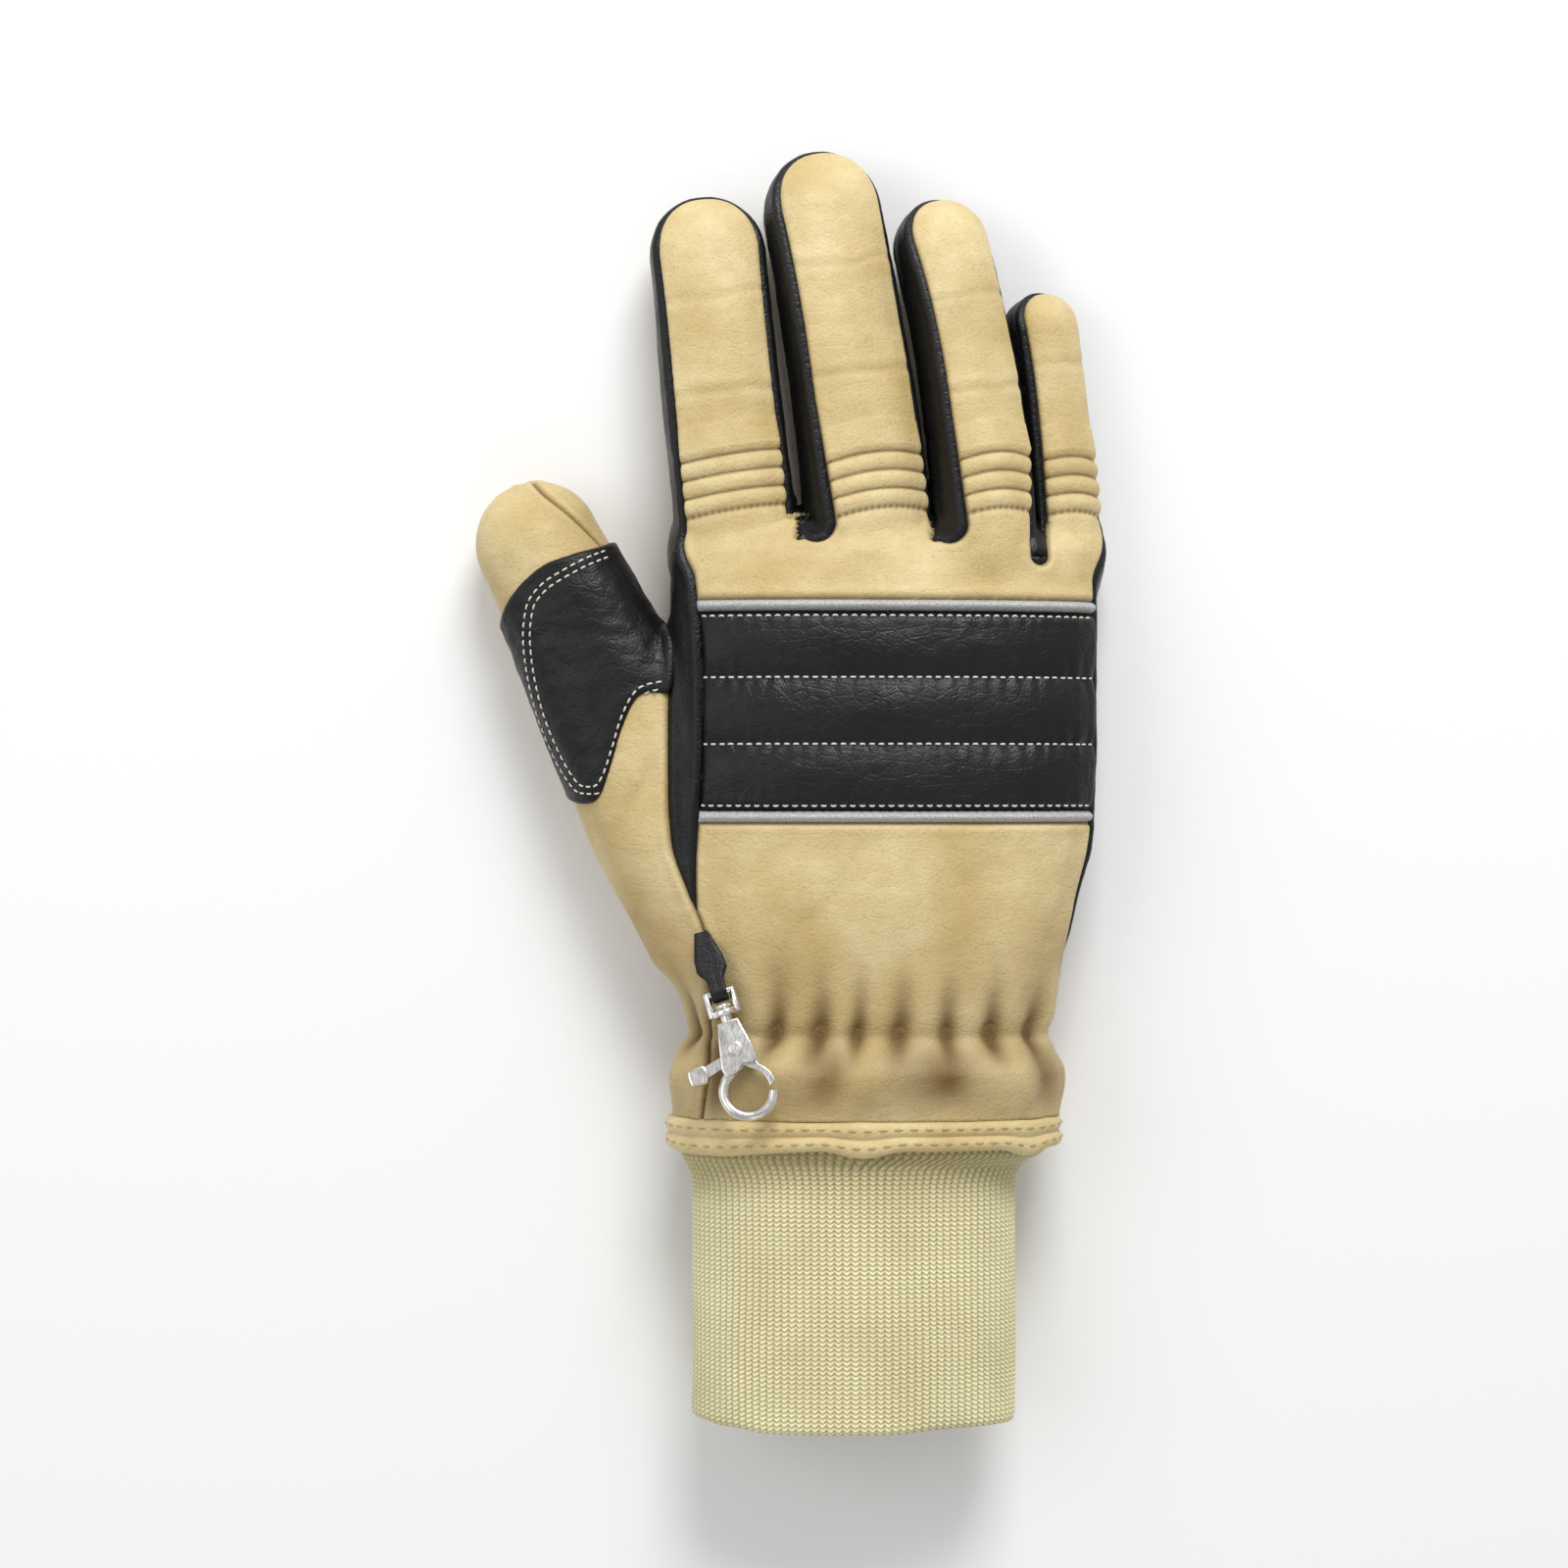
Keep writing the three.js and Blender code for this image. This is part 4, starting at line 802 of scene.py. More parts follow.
    def face(self, points: Array, upper: bool) -> Array:
        """Is positive on the back panels, or on the palm panels.

        Args:
            points: places.
            upper: whether the back is meant.

        Returns:
            Distances past the side strips' edge.
        """
        hand = self.hand_edge(points, upper)
        which, _ = self.nearest(points)
        fingers = np.stack([self.finger_edge(finger, points, upper) for finger in self.form.fingers], axis=1)
        own = np.take_along_axis(fingers, which[:, None], 1)[:, 0]
        body = self.form.body_length
        low, high = (body - 11.0, body + 6.0) if upper else (body, body + 9.0)
        blend = smooth_step(low, high, points[:, 1])
        edge = hand * (1.0 - blend) + own * blend
        if not upper:
            return edge
        for x, y, radius, lean in self.crotches:
            rise = np.clip(points[:, 1] - y - radius, 0.0, 30.0)
            away = np.hypot(points[:, 0] - x - lean * rise, points[:, 1] - y - radius - rise)
            away = away - radius * (1.0 - rise / 90.0)
            edge = np.minimum(edge, away)
        return edge

    def label(self, skin: Skin) -> None:
        """Cuts the whole skin into its panels.

        Args:
            skin: the skin, all of it labelled 0.
        """
        hand_all, thumb_all = number(Part.STRIP_INDEX), number(Part.THUMB_BACK)
        skin.label[:] = hand_all
        skin.cut(self.thumb, [hand_all], thumb_all)
        skin.cut(self.thumb_front, [thumb_all], number(Part.THUMB_FRONT))
        back, palm = number(Part.BACK_FINGERS), number(Part.PALM_FINGERS)
        skin.cut(lambda p: self.face(p, True), [hand_all], back)
        skin.cut(lambda p: self.face(p, False), [hand_all], palm)
        pad_low = self.pad_top - self.pad_length
        for limit, part in (
            (self.pad_top + self.piping_width, Part.PIPING_UPPER), (self.pad_top, Part.BACK_PAD),
            (pad_low, Part.PIPING_LOWER), (pad_low - self.piping_width, Part.GAUNTLET_BACK),
        ):
            skin.cut(lambda p, y=limit: y - p[:, 1], [back], number(part))
            back = number(part)
        for shares, part in ((self.patch_upper, Part.PALM_PATCH), (self.patch_lower, Part.GAUNTLET_PALM)):
            skin.cut(lambda p, s=shares: self.slanted(s, p), [palm], number(part))
            palm = number(part)
        for i in range(len(STRIPS) - 1):
            skin.cut(lambda p, k=i: self.web(k, p), [number(STRIPS[i])], number(STRIPS[i + 1]))

    def slanted(self, shares: tuple[float, float], points: Array) -> Array:
        """Is positive below a line that runs across the whole hand aslant."""
        far = self.form.palm_width * 2.0
        t = (points[:, 0] + far) / (2.0 * far)
        return (shares[0] + (shares[1] - shares[0]) * t) * self.form.body_length - points[:, 1]

    def web(self, left: int, points: Array) -> Array:
        """Is positive on the outer side of the web after a finger."""
        one = self.form.finger_section(self.form.fingers[left], points)[5]
        two = self.form.finger_section(self.form.fingers[left + 1], points)[5]
        low = points[:, 1] < self.form.body_length - 4.0
        return np.where(low, points[:, 0], one - two)


def outline_distance(outline: Array, points: Array) -> Array:
    """Measures how far plan points lie inside a closed outline.

    Args:
        outline: corners of the outline.
        points: places, of which x and y are used.

    Returns:
        Distances, positive inside.
    """
    best = np.full(len(points), np.inf)
    inside = np.zeros(len(points), dtype=bool)
    x, y = points[:, 0], points[:, 1]
    for a, b in zip(outline, np.roll(outline, -1, axis=0)):
        span = b - a
        t = np.clip(((x - a[0]) * span[0] + (y - a[1]) * span[1]) / (span @ span), 0.0, 1.0)
        best = np.minimum(best, np.hypot(x - a[0] - t * span[0], y - a[1] - t * span[1]))
        crosses = (a[1] > y) != (b[1] > y)
        level = span[0] * (y - a[1]) / (span[1] if abs(span[1]) > 1e-9 else 1e-9) + a[0]
        inside ^= crosses & (x < level)
    return np.where(inside, best, -best)


def rounded_outline(rows: Array, count: int) -> Array:
    """Draws a smooth closed curve through an outline's corners.

    Args:
        rows: corners.
        count: points between two corners.

    Returns:
        Points of the curve.
    """
    points = []
    total = len(rows)
    for i in range(total):
        p0, p1, p2, p3 = (rows[(i + k) % total] for k in (-1, 0, 1, 2))
        for t in np.linspace(0.0, 1.0, count, endpoint=False):
            points.append(0.5 * (
                2 * p1 + (p2 - p0) * t + (2 * p0 - 5 * p1 + 4 * p2 - p3) * t * t
                + (3 * p1 - p0 - 3 * p2 + p3) * t ** 3
            ))
    return np.array(points)


class Solid:
    """Gathers closed shapes in millimetres into one object."""

    def __init__(self) -> None:
        """Starts empty."""
        self.verts: list[Array] = []
        self.faces: list[list[int]] = []
        self.count = 0

    def add(self, verts: Array, faces: Sequence[Sequence[int]]) -> None:
        """Adds points and the faces between them."""
        self.faces += [[i + self.count for i in face] for face in faces]
        self.verts.append(np.asarray(verts, dtype=float))
        self.count += len(verts)

    def loft(self, rings: Array, closed: bool = False) -> None:
        """Skins a row of rings, each with the same number of points.

        Args:
            rings: array of rings of points.
            closed: whether the last ring joins the first.
        """
        rows, width = rings.shape[:2]
        faces = []
        for i in range(rows if closed else rows - 1):
            k = (i + 1) % rows
            for j in range(width):
                n = (j + 1) % width
                faces.append([i * width + j, i * width + n, k * width + n, k * width + j])
        if not closed:
            faces.append(list(range(width))[::-1])
            faces.append([(rows - 1) * width + j for j in range(width)])
        self.add(rings.reshape(-1, 3), faces)

    def rod(self, start: Sequence[float], end: Sequence[float], radius: float, soft: float = 0.25) -> None:
        """Adds a rod with rounded rims.

        Args:
            start: middle of one end.
            end: middle of the other end.
            radius: radius of the rod.
            soft: radius of the rims.
        """
        start, end = np.array(start, dtype=float), np.array(end, dtype=float)
        ahead = end - start
        length = np.linalg.norm(ahead)
        ahead /= length
        side = np.cross(ahead, [0.0, 0.0, 1.0] if abs(ahead[2]) < 0.9 else [1.0, 0.0, 0.0])
        side /= np.linalg.norm(side)
        other = np.cross(ahead, side)
        turn = np.linspace(0.0, 2 * np.pi, 32, endpoint=False)
        soft = min(soft, length / 2.1, radius * 0.9)
        lift = np.linspace(0.0, np.pi / 2, 5)
        steps = [(soft * (1 - math.sin(a)), radius - soft * (1 - math.cos(a))) for a in lift]
        steps = [(d, r) for d, r in steps[::-1]]
        steps += [(length - d, r) for d, r in steps[::-1]]
        rings = [
            start + ahead * d + r * (np.cos(turn)[:, None] * side + np.sin(turn)[:, None] * other) for d, r in steps
        ]
        self.loft(np.array(rings))

    def tube(self, path: Array, radius: float, closed: bool = False) -> None:
        """Adds a round wire that follows a flat path.

        Args:
            path: points of the path.
            radius: radius of the wire.
            closed: whether it joins itself.
        """
        ahead = np.gradient(path, axis=0)
        ahead /= np.linalg.norm(ahead, axis=1)[:, None]
        up = np.array([0.0, 0.0, 1.0])
        side = np.cross(ahead, up)
        turn = np.linspace(0.0, 2 * np.pi, 20, endpoint=False)
        size = np.full(len(path), radius)
        if not closed:
            size[0] = size[-1] = radius * 0.6
        rings = path[:, None, :] + size[:, None, None] * (
            np.cos(turn)[None, :, None] * side[:, None, :] + np.sin(turn)[None, :, None] * up
        )
        self.loft(rings, closed)

    def plate(self, outline: Array, low: float, high: float, soft: float = 0.35) -> None:
        """Adds a flat plate with softened rims.

        Args:
            outline: corners of the plate.
            low: height of its underside.
            high: height of its top.
            soft: width of the softened rim.
        """
        curve = np.asarray(outline, dtype=float)
        ahead = np.roll(curve, -1, axis=0) - np.roll(curve, 1, axis=0)
        inward = np.stack([-ahead[:, 1], ahead[:, 0]], axis=1)
        inward /= np.maximum(np.linalg.norm(inward, axis=1), 1e-9)[:, None]
        turned = 0.5 * np.sum(curve[:, 0] * np.roll(curve[:, 1], -1) - curve[:, 1] * np.roll(curve[:, 0], -1)) > 0
        inward = inward if turned else -inward
        rings = []
        for inset, height in ((soft, low), (soft * 0.3, low + soft * 0.3), (0.0, low + soft), (0.0, high - soft),
                              (soft * 0.3, high - soft * 0.3), (soft, high)):
            ring = curve + inward * inset
            rings.append(np.column_stack([ring, np.full(len(ring), height)]))
        self.loft(np.array(rings))

    def object(self, name: str, place: Callable[[Array], Array], angle: float = 40.0) -> bpy.types.Object:
        """Makes the object.

        Args:
            name: name of the object.
            place: takes points to metres of the frame.
            angle: edges sharper than this many degrees stay sharp.

        Returns:
            The object, linked to the scene.
        """
        mesh = bpy.data.meshes.new(name)
        mesh.from_pydata(place(np.concatenate(self.verts)).tolist(), [], self.faces)
        mesh.update()
        work = bmesh.new()
        work.from_mesh(mesh)
        bmesh.ops.recalc_face_normals(work, faces=work.faces)
        for edge in work.edges:
            capped = any(len(face.verts) > 4 for face in edge.link_faces)
            edge.smooth = not capped and len(edge.link_faces) == 2 and edge.calc_face_angle(0.0) < math.radians(angle)
        for face in work.faces:
            face.smooth = True
        work.to_mesh(mesh)
        work.free()
        thing = bpy.data.objects.new(name, mesh)
        bpy.context.scene.collection.objects.link(thing)
        return thing


def skin_object(
    name: str, place: Callable[[Array], Array], outer: Array, inner: Array, tris: Array, shade: Array,
) -> bpy.types.Object:
    """Makes a closed panel from an outer and an inner face joined round the edge.

    Args:
        name: name of the object.
        place: takes points to metres of the frame.
        outer: points of the outer face.
        inner: points of the inner face.
        tris: triangles, the same for both faces.
        shade: painted shade of each point, 0 to 1, stored on the mesh for the materials.

    Returns:
        The object, linked to the scene.
    """
    used, flat = np.unique(tris, return_inverse=True)
    tris = flat.reshape(-1, 3)
    count = len(used)
    sides = np.stack([tris, np.roll(tris, -1, axis=1)], axis=2).reshape(-1, 2)
    forward = sides[:, 0] * count + sides[:, 1]
    backward = sides[:, 1] * count + sides[:, 0]
    rim = sides[~np.isin(forward, backward)]
    wall = np.concatenate([
        np.stack([rim[:, 1], rim[:, 0], rim[:, 0] + count], axis=1),
        np.stack([rim[:, 1], rim[:, 0] + count, rim[:, 1] + count], axis=1),
    ])
    faces = np.concatenate([tris, tris[:, ::-1] + count, wall])
    verts = place(np.concatenate([outer[used], inner[used]]))
    mesh = bpy.data.meshes.new(name)
    mesh.vertices.add(len(verts))
    mesh.vertices.foreach_set("co", verts.astype(np.float32).ravel())
    mesh.loops.add(len(faces) * 3)
    mesh.loops.foreach_set("vertex_index", faces.ravel().astype(np.int32))
    mesh.polygons.add(len(faces))
    mesh.polygons.foreach_set("loop_start", np.arange(0, len(faces) * 3, 3, dtype=np.int32))
    mesh.polygons.foreach_set("use_smooth", np.ones(len(faces), dtype=bool))
    mesh.update(calc_edges=True)
    layer = mesh.attributes.new("shade", "FLOAT", "POINT")
    layer.data.foreach_set("value", np.tile(np.clip(shade[used], 0.0, 1.0), 2).astype(np.float32))
    mesh.validate()
    thing = bpy.data.objects.new(name, mesh)
    bpy.context.scene.collection.objects.link(thing)
    return thing


class Shader:
    """Node tree of one material, put together from a few kinds of node."""

    def __init__(self, name: str) -> None:
        """Starts a material with its surface shader."""
        self.material = bpy.data.materials.new(name)
        self.material.use_nodes = True
        self.tree = self.material.node_tree
        self.surface = self.tree.nodes["Principled BSDF"]
        self.place = self.node("ShaderNodeTexCoord").outputs["Object"]

    def node(self, kind: str, **settings: object) -> bpy.types.Node:
        """Adds a node and sets its properties."""
        made = self.tree.nodes.new(kind)
        for key, value in settings.items():
            setattr(made, key, value)
        return made

    def put(self, target: bpy.types.NodeSocket, value: object) -> None:
        """Links a socket, or sets its value where a plain value is given."""
        if isinstance(value, bpy.types.NodeSocket):
            self.tree.links.new(value, target)
        else:
            target.default_value = value

    def stretched(self, stretch: tuple[float, float, float], place: object = None) -> bpy.types.NodeSocket:
        """Scales the coordinates by a factor along each axis."""
        made = self.node("ShaderNodeMapping")
        self.put(made.inputs["Vector"], place or self.place)
        made.inputs["Scale"].default_value = stretch
        return made.outputs["Vector"]

    def noise(self, width: float, detail: float = 3.0, place: object = None) -> bpy.types.NodeSocket:
        """Gives noise whose bumps are about this many millimetres wide."""
        made = self.node("ShaderNodeTexNoise")
        self.put(made.inputs["Vector"], place or self.place)
        made.inputs["Scale"].default_value = 1000.0 / width
        made.inputs["Detail"].default_value = detail
        return made.outputs["Fac"]

    def cells(self, width: float, feature: str = "DISTANCE_TO_EDGE", place: object = None) -> bpy.types.NodeSocket:
        """Gives a pattern of cells about this many millimetres wide."""
        made = self.node("ShaderNodeTexVoronoi", feature=feature)
        self.put(made.inputs["Vector"], place or self.place)
        made.inputs["Scale"].default_value = 1000.0 / width
        return made.outputs["Distance"]

    def stored(self, name: str) -> bpy.types.NodeSocket:
        """Reads a value stored on the mesh."""
        return self.node("ShaderNodeAttribute", attribute_name=name).outputs["Fac"]

    def span(
            self, value: object, low: float, high: float, to_low: float = 0.0, to_high: float = 1.0,
    ) -> bpy.types.NodeSocket:
        """Maps a range of a value onto another range."""
        made = self.node("ShaderNodeMapRange")
        for key, given in zip(
                ("Value", "From Min", "From Max", "To Min", "To Max"), (value, low, high, to_low, to_high)):
            self.put(made.inputs[key], given)
        return made.outputs["Result"]

    def sum(self, operation: str, one: object, other: object) -> bpy.types.NodeSocket:
        """Does sums on two values."""
        made = self.node("ShaderNodeMath", operation=operation)
        self.put(made.inputs[0], one)
        self.put(made.inputs[1], other)
        return made.outputs[0]

    def mix(self, share: object, one: object, other: object) -> bpy.types.NodeSocket:
        """Mixes two colours."""
        made = self.node("ShaderNodeMix", data_type="RGBA")
        self.put(made.inputs[0], share)
        self.put(made.inputs[6], one)
        self.put(made.inputs[7], other)
        return made.outputs[2]

    def bump(self, height: object, depth: float, before: object = None) -> bpy.types.NodeSocket:
        """Tilts the surface by a height pattern this many millimetres deep."""
        made = self.node("ShaderNodeBump")
        made.inputs["Strength"].default_value = 1.0
        made.inputs["Distance"].default_value = depth / 1000.0
        self.put(made.inputs["Height"], height)
        if before is not None:
            self.put(made.inputs["Normal"], before)
        return made.outputs["Normal"]

    def finish(self, colour: object, roughness: object, normal: object, **plain: float) -> bpy.types.Material:
        """Joins everything to the surface shader.

        Args:
            colour: base colour.
            roughness: roughness.
            normal: bumped normal.
            plain: further values of the shader, the same all over.

        Returns:
            The material.
        """
        self.put(self.surface.inputs["Base Color"], colour)
        self.put(self.surface.inputs["Roughness"], roughness)
        self.put(self.surface.inputs["Normal"], normal)
        for key, value in plain.items():
            self.surface.inputs[key.replace("_", " ")].default_value = value
        return self.material


Colour = tuple[float, float, float, float]


def tone(red: int, green: int, blue: int) -> Colour:
    """Gives a colour from its eight-bit values."""
    return tuple(((c / 255.0 + 0.055) / 1.055) ** 2.4 for c in (red, green, blue)) + (1.0,)


@dataclass(frozen=True)
class LeatherFinish:
    """Leather: colours, grain and gloss, with widths and depths in millimetres."""

    name: str
    light: Colour
    middle: Colour
    # dark colour for random specks and for painted shade
    speck_and_shade: Colour
    roughness: float
    grain: float
    grain_depth: float
    crease_depth: float
    sheen: float
    gloss: float

    def material(self) -> bpy.types.Material:
        """Makes the material, darkened where the mesh stores painted shade."""
        shader = Shader(self.name)
        shade = shader.stored("shade")
        cloud = shader.span(shader.noise(26.0, 4.0), 0.36, 0.66)
        mottle = shader.span(shader.noise(4.5, 4.0), 0.35, 0.7)
        speck = shader.noise(0.8, 2.0)
        colour = shader.mix(cloud, self.light, self.middle)
        colour = shader.mix(shader.sum("MULTIPLY", mottle, 0.35), colour, self.middle)
        colour = shader.mix(shader.span(speck, 0.55, 0.75, 0.0, 0.22), colour, self.speck_and_shade)
        # painted shade: the stored shade darkens the leather in seams, grooves, creases and fold hollows
        colour = shader.mix(shade, colour, self.speck_and_shade)
        grain = shader.cells(self.grain)
        pores = shader.noise(self.grain * 0.7, 3.0)
        creases = shader.cells(self.grain * 5.0, place=shader.stretched((1.0, 1.7, 1.0)))
        normal = shader.bump(shader.span(creases, 0.0, 0.12), self.crease_depth)
        normal = shader.bump(shader.span(grain, 0.0, 0.35), self.grain_depth, normal)
        normal = shader.bump(pores, self.grain_depth * 0.8, normal)
        rough = shader.span(shader.noise(9.0, 3.0), 0.3, 0.7, self.roughness - 0.07, self.roughness + 0.08)
        return shader.finish(
            colour, rough, normal, Sheen_Weight=self.sheen, Sheen_Roughness=0.4, Specular_IOR_Level=self.gloss)


@dataclass(frozen=True)
class KnitFinish:
    """Ribbed knit: colours and stitches, which follow the ribs by the mesh's own coordinates."""

    name: str
    light: Colour
    dark: Colour

    def material(self) -> bpy.types.Material:
        """Makes the material."""
        shader = Shader(self.name)
        chart = shader.node("ShaderNodeUVMap", uv_map="knit").outputs["UV"]
        split = shader.node("ShaderNodeSeparateXYZ")
        shader.put(split.inputs[0], chart)
        wale = shader.sum("FRACT", split.outputs[0], 0.0)
        lean = shader.sum("ABSOLUTE", shader.sum("SUBTRACT", wale, 0.5), 0.0)
        row = shader.sum("ADD", split.outputs[1], shader.sum("MULTIPLY", lean, 1.1))
        bead = shader.sum("SINE", shader.sum("MULTIPLY", row, 2 * math.pi), 0.0)
        bead = shader.span(bead, -1.0, 1.0)
        fuzz = shader.noise(0.35, 4.0)
        # painted shade in the hollows between the knit beads
        colour = shader.mix(shader.span(bead, 0.0, 0.7, 0.55, 0.0), self.light, self.dark)
        # painted shade from the stored values: in the grooves between ribs and under the hem
        colour = shader.mix(shader.stored("shade"), colour, self.dark)
        colour = shader.mix(shader.span(shader.noise(20.0, 3.0), 0.35, 0.7, 0.0, 0.25), colour, self.dark)
        normal = shader.bump(bead, 0.32)
        normal = shader.bump(fuzz, 0.12, normal)
        return shader.finish(colour, 0.9, normal, Sheen_Weight=0.35, Sheen_Roughness=0.5)


@dataclass(frozen=True)
class ThreadFinish:
    """Sewing thread, tape or woven trim: colours and twist."""

    name: str
    light: Colour
    dark: Colour
    twist: float
    roughness: float

    def material(self) -> bpy.types.Material:
        """Makes the material."""
        shader = Shader(self.name)
        strands = shader.noise(self.twist, 3.0)
        weave = shader.cells(self.twist, "F1")
        colour = shader.mix(shader.span(strands, 0.35, 0.7), self.light, self.dark)
        colour = shader.mix(shader.span(weave, 0.3, 0.8, 0.0, 0.4), colour, self.dark)
        normal = shader.bump(strands, self.twist * 0.3)
        normal = shader.bump(weave, self.twist * 0.2, normal)
        rough = shader.span(strands, 0.3, 0.7, self.roughness - 0.08, self.roughness + 0.08)
        return shader.finish(colour, rough, normal)


@dataclass(frozen=True)
class MetalFinish:
    """Nickel plate with a brushed, slightly worn surface."""

    name: str
    light: Colour
    dark: Colour
    roughness: float

    def material(self) -> bpy.types.Material:
        """Makes the material."""
        shader = Shader(self.name)
        brush = shader.noise(0.5, 4.0, shader.stretched((1.0, 0.12, 1.0)))
        wear = shader.noise(3.0, 5.0)
        colour = shader.mix(shader.span(wear, 0.4, 0.7), self.light, self.dark)
        rough = shader.span(brush, 0.3, 0.7, self.roughness - 0.06, self.roughness + 0.12)
        return shader.finish(colour, rough, shader.bump(brush, 0.008), Metallic=1.0)


@dataclass(frozen=True)
class Finishes:
    """All finishes of the glove."""

    tan: LeatherFinish = LeatherFinish(
        "tan_leather", tone(213, 195, 148), tone(190, 166, 112), tone(104, 78, 36), 0.6, 1.1, 0.06, 0.05, 0.1, 0.4)
    black: LeatherFinish = LeatherFinish(
        "black_leather", tone(22, 22, 24), tone(14, 14, 15), tone(4, 4, 4), 0.42, 1.0, 0.045, 0.05, 0.0, 0.3)
    piping: ThreadFinish = ThreadFinish("grey_piping", tone(196, 196, 194), tone(150, 150, 150), 0.5, 0.45)
    knit: KnitFinish = KnitFinish("cream_knit", tone(250, 243, 196), tone(166, 152, 100))
    tape: ThreadFinish = ThreadFinish("black_tape", tone(34, 34, 36), tone(12, 12, 13), 0.6, 0.75)
    thread: ThreadFinish = ThreadFinish("white_thread", tone(232, 230, 218), tone(196, 192, 176), 0.25, 0.7)
    hem_thread: ThreadFinish = ThreadFinish("tan_thread", tone(190, 168, 114), tone(160, 136, 86), 0.25, 0.7)
    nickel: MetalFinish = MetalFinish("nickel", tone(238, 236, 232), tone(196, 194, 190), 0.24)


def dress(thing: bpy.types.Object, material: bpy.types.Material, body: str, slot: str, *nodes: str) -> bpy.types.Object:
    """Gives a piece its material and body, and hides the nodes it stands for.

    Args:
        thing: the piece.
        material: its material.
        body: body that it rides on.
        slot: not used.
        nodes: nodes that it replaces.

    Returns:
        The piece.
    """
    thing.data.materials.clear()
    thing.data.materials.append(material)
    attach(thing, body)
    if nodes:
        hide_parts(*nodes)
    log.info("%s: %d faces, rides on %s", thing.name, len(thing.data.polygons), body)
    return thing


class Surface:
    """A finished skin that stitches are laid on."""

    def __init__(self, verts: Array, tris: Array, label: Array) -> None:
        """Keeps the skin for ray casts."""
        self.label = label
        self.tree = BVHTree.FromPolygons(verts.tolist(), tris.tolist())

    def drop(self, x: float, y: float, above: bool) -> tuple[Array, Array, int] | None:
        """Finds the skin over or under a plan point.

        Args:
            x: place across.
            y: place along.
            above: whether it is looked for from above.

        Returns:
            Place, direction outwards and label, or None where there is no skin.
        """
        start, way = (120.0, -1.0) if above else (-60.0, 1.0)
        spot, normal, face, _ = self.tree.ray_cast(Vector((x, y, start)), Vector((0.0, 0.0, way)))
        if spot is None:
            return None
        normal = np.array(normal)
        return np.array(spot), normal if normal[2] * way < 0.0 else -normal, int(self.label[face])


class Stitching:
    """Rows of thread stitches gathered into one object."""

    def __init__(self, length: float = 2.9, gap: float = 1.0, radius: float = 0.3) -> None:
        """Keeps the size of a stitch in millimetres."""
        self.length = length
        self.gap = gap
        self.radius = radius
        self.solid = Solid()
        self.count = 0

    def stitch(self, start: Array, end: Array, out: Array) -> None:
        """Adds one stitch that dips into the leather at both ends.

        Args:
            start: where it comes up.
            end: where it goes down.
            out: direction out of the leather.
        """
        ahead = end - start
        ahead /= max(np.linalg.norm(ahead), 1e-9)
        side = np.cross(ahead, out)
        side /= max(np.linalg.norm(side), 1e-9)
        up = np.cross(side, ahead)
        turn = np.linspace(0.0, 2 * np.pi, 8, endpoint=False)
        rings = []
        for t, size, lift in ((0.0, 0.35, -0.28), (0.1, 0.8, 0.0), (0.3, 1.0, 0.2), (0.5, 1.0, 0.26), (0.7, 1.0, 0.2),
                              (0.9, 0.8, 0.0), (1.0, 0.35, -0.28)):
            middle = start + (end - start) * t + up * lift * self.radius / 0.3
            around = np.cos(turn)[:, None] * side + np.sin(turn)[:, None] * up * 0.85
            rings.append(middle + size * self.radius * around)
        self.solid.loft(np.array(rings))
        self.count += 1

    def row(self, path: Array, out: Array) -> None:
        """Lays stitches along a path over the leather.

        Args:
            path: points of the path.
            out: directions out of the leather at them.
        """
        if len(path) < 3:
            return
        run = np.concatenate([[0.0], np.cumsum(np.linalg.norm(np.diff(path, axis=0), axis=1))])
        place = self.gap * 0.5
        while place + self.length < run[-1]:
            ends = []
            for at in (place, place + self.length, place + self.length / 2):
                ends.append(np.array([np.interp(at, run, path[:, k]) for k in range(3)]))
            tilt = np.array([np.interp(place + self.length / 2, run, out[:, k]) for k in range(3)])
            self.stitch(ends[0], ends[1], tilt / max(np.linalg.norm(tilt), 1e-9))
            place += self.length + self.gap

    def over(self, surface: Surface, plan: Array, above: bool, labels: Sequence[int], step: float = 0.6) -> None:
        """Lays stitches along a plan line, on the chosen panels only.

        Args:
            surface: what they are sewn on.
            plan: points of the line, x and y.
            above: whether the line is seen from above.
            labels: labels of the panels that take it, or none for all.
            step: spacing of the ray casts.
        """
        run = np.concatenate([[0.0], np.cumsum(np.linalg.norm(np.diff(plan, axis=0), axis=1))])
        path: list[Array] = []
        out: list[Array] = []
        for at in np.arange(0.0, run[-1], step):
            hit = surface.drop(float(np.interp(at, run, plan[:, 0])), float(np.interp(at, run, plan[:, 1])), above)
            fits = hit is not None and (not labels or hit[2] in labels)
            broken = fits and path and np.linalg.norm(hit[0] - path[-1]) > 5.0 * step
            if not fits or broken:
                self.row(np.array(path), np.array(out))
                path, out = [], []
            if fits:
                path.append(hit[0])
                out.append(hit[1])
        self.row(np.array(path), np.array(out))

    def object(self, name: str, form: GloveForm, material: bpy.types.Material) -> bpy.types.Object:
        """Makes the object of all its rows."""
        thing = self.solid.object(name, form.to_frame, 60.0)
        log.info("%s: %d stitches", name, self.count)
        return dress(thing, material, ROOT, "cream_knit")


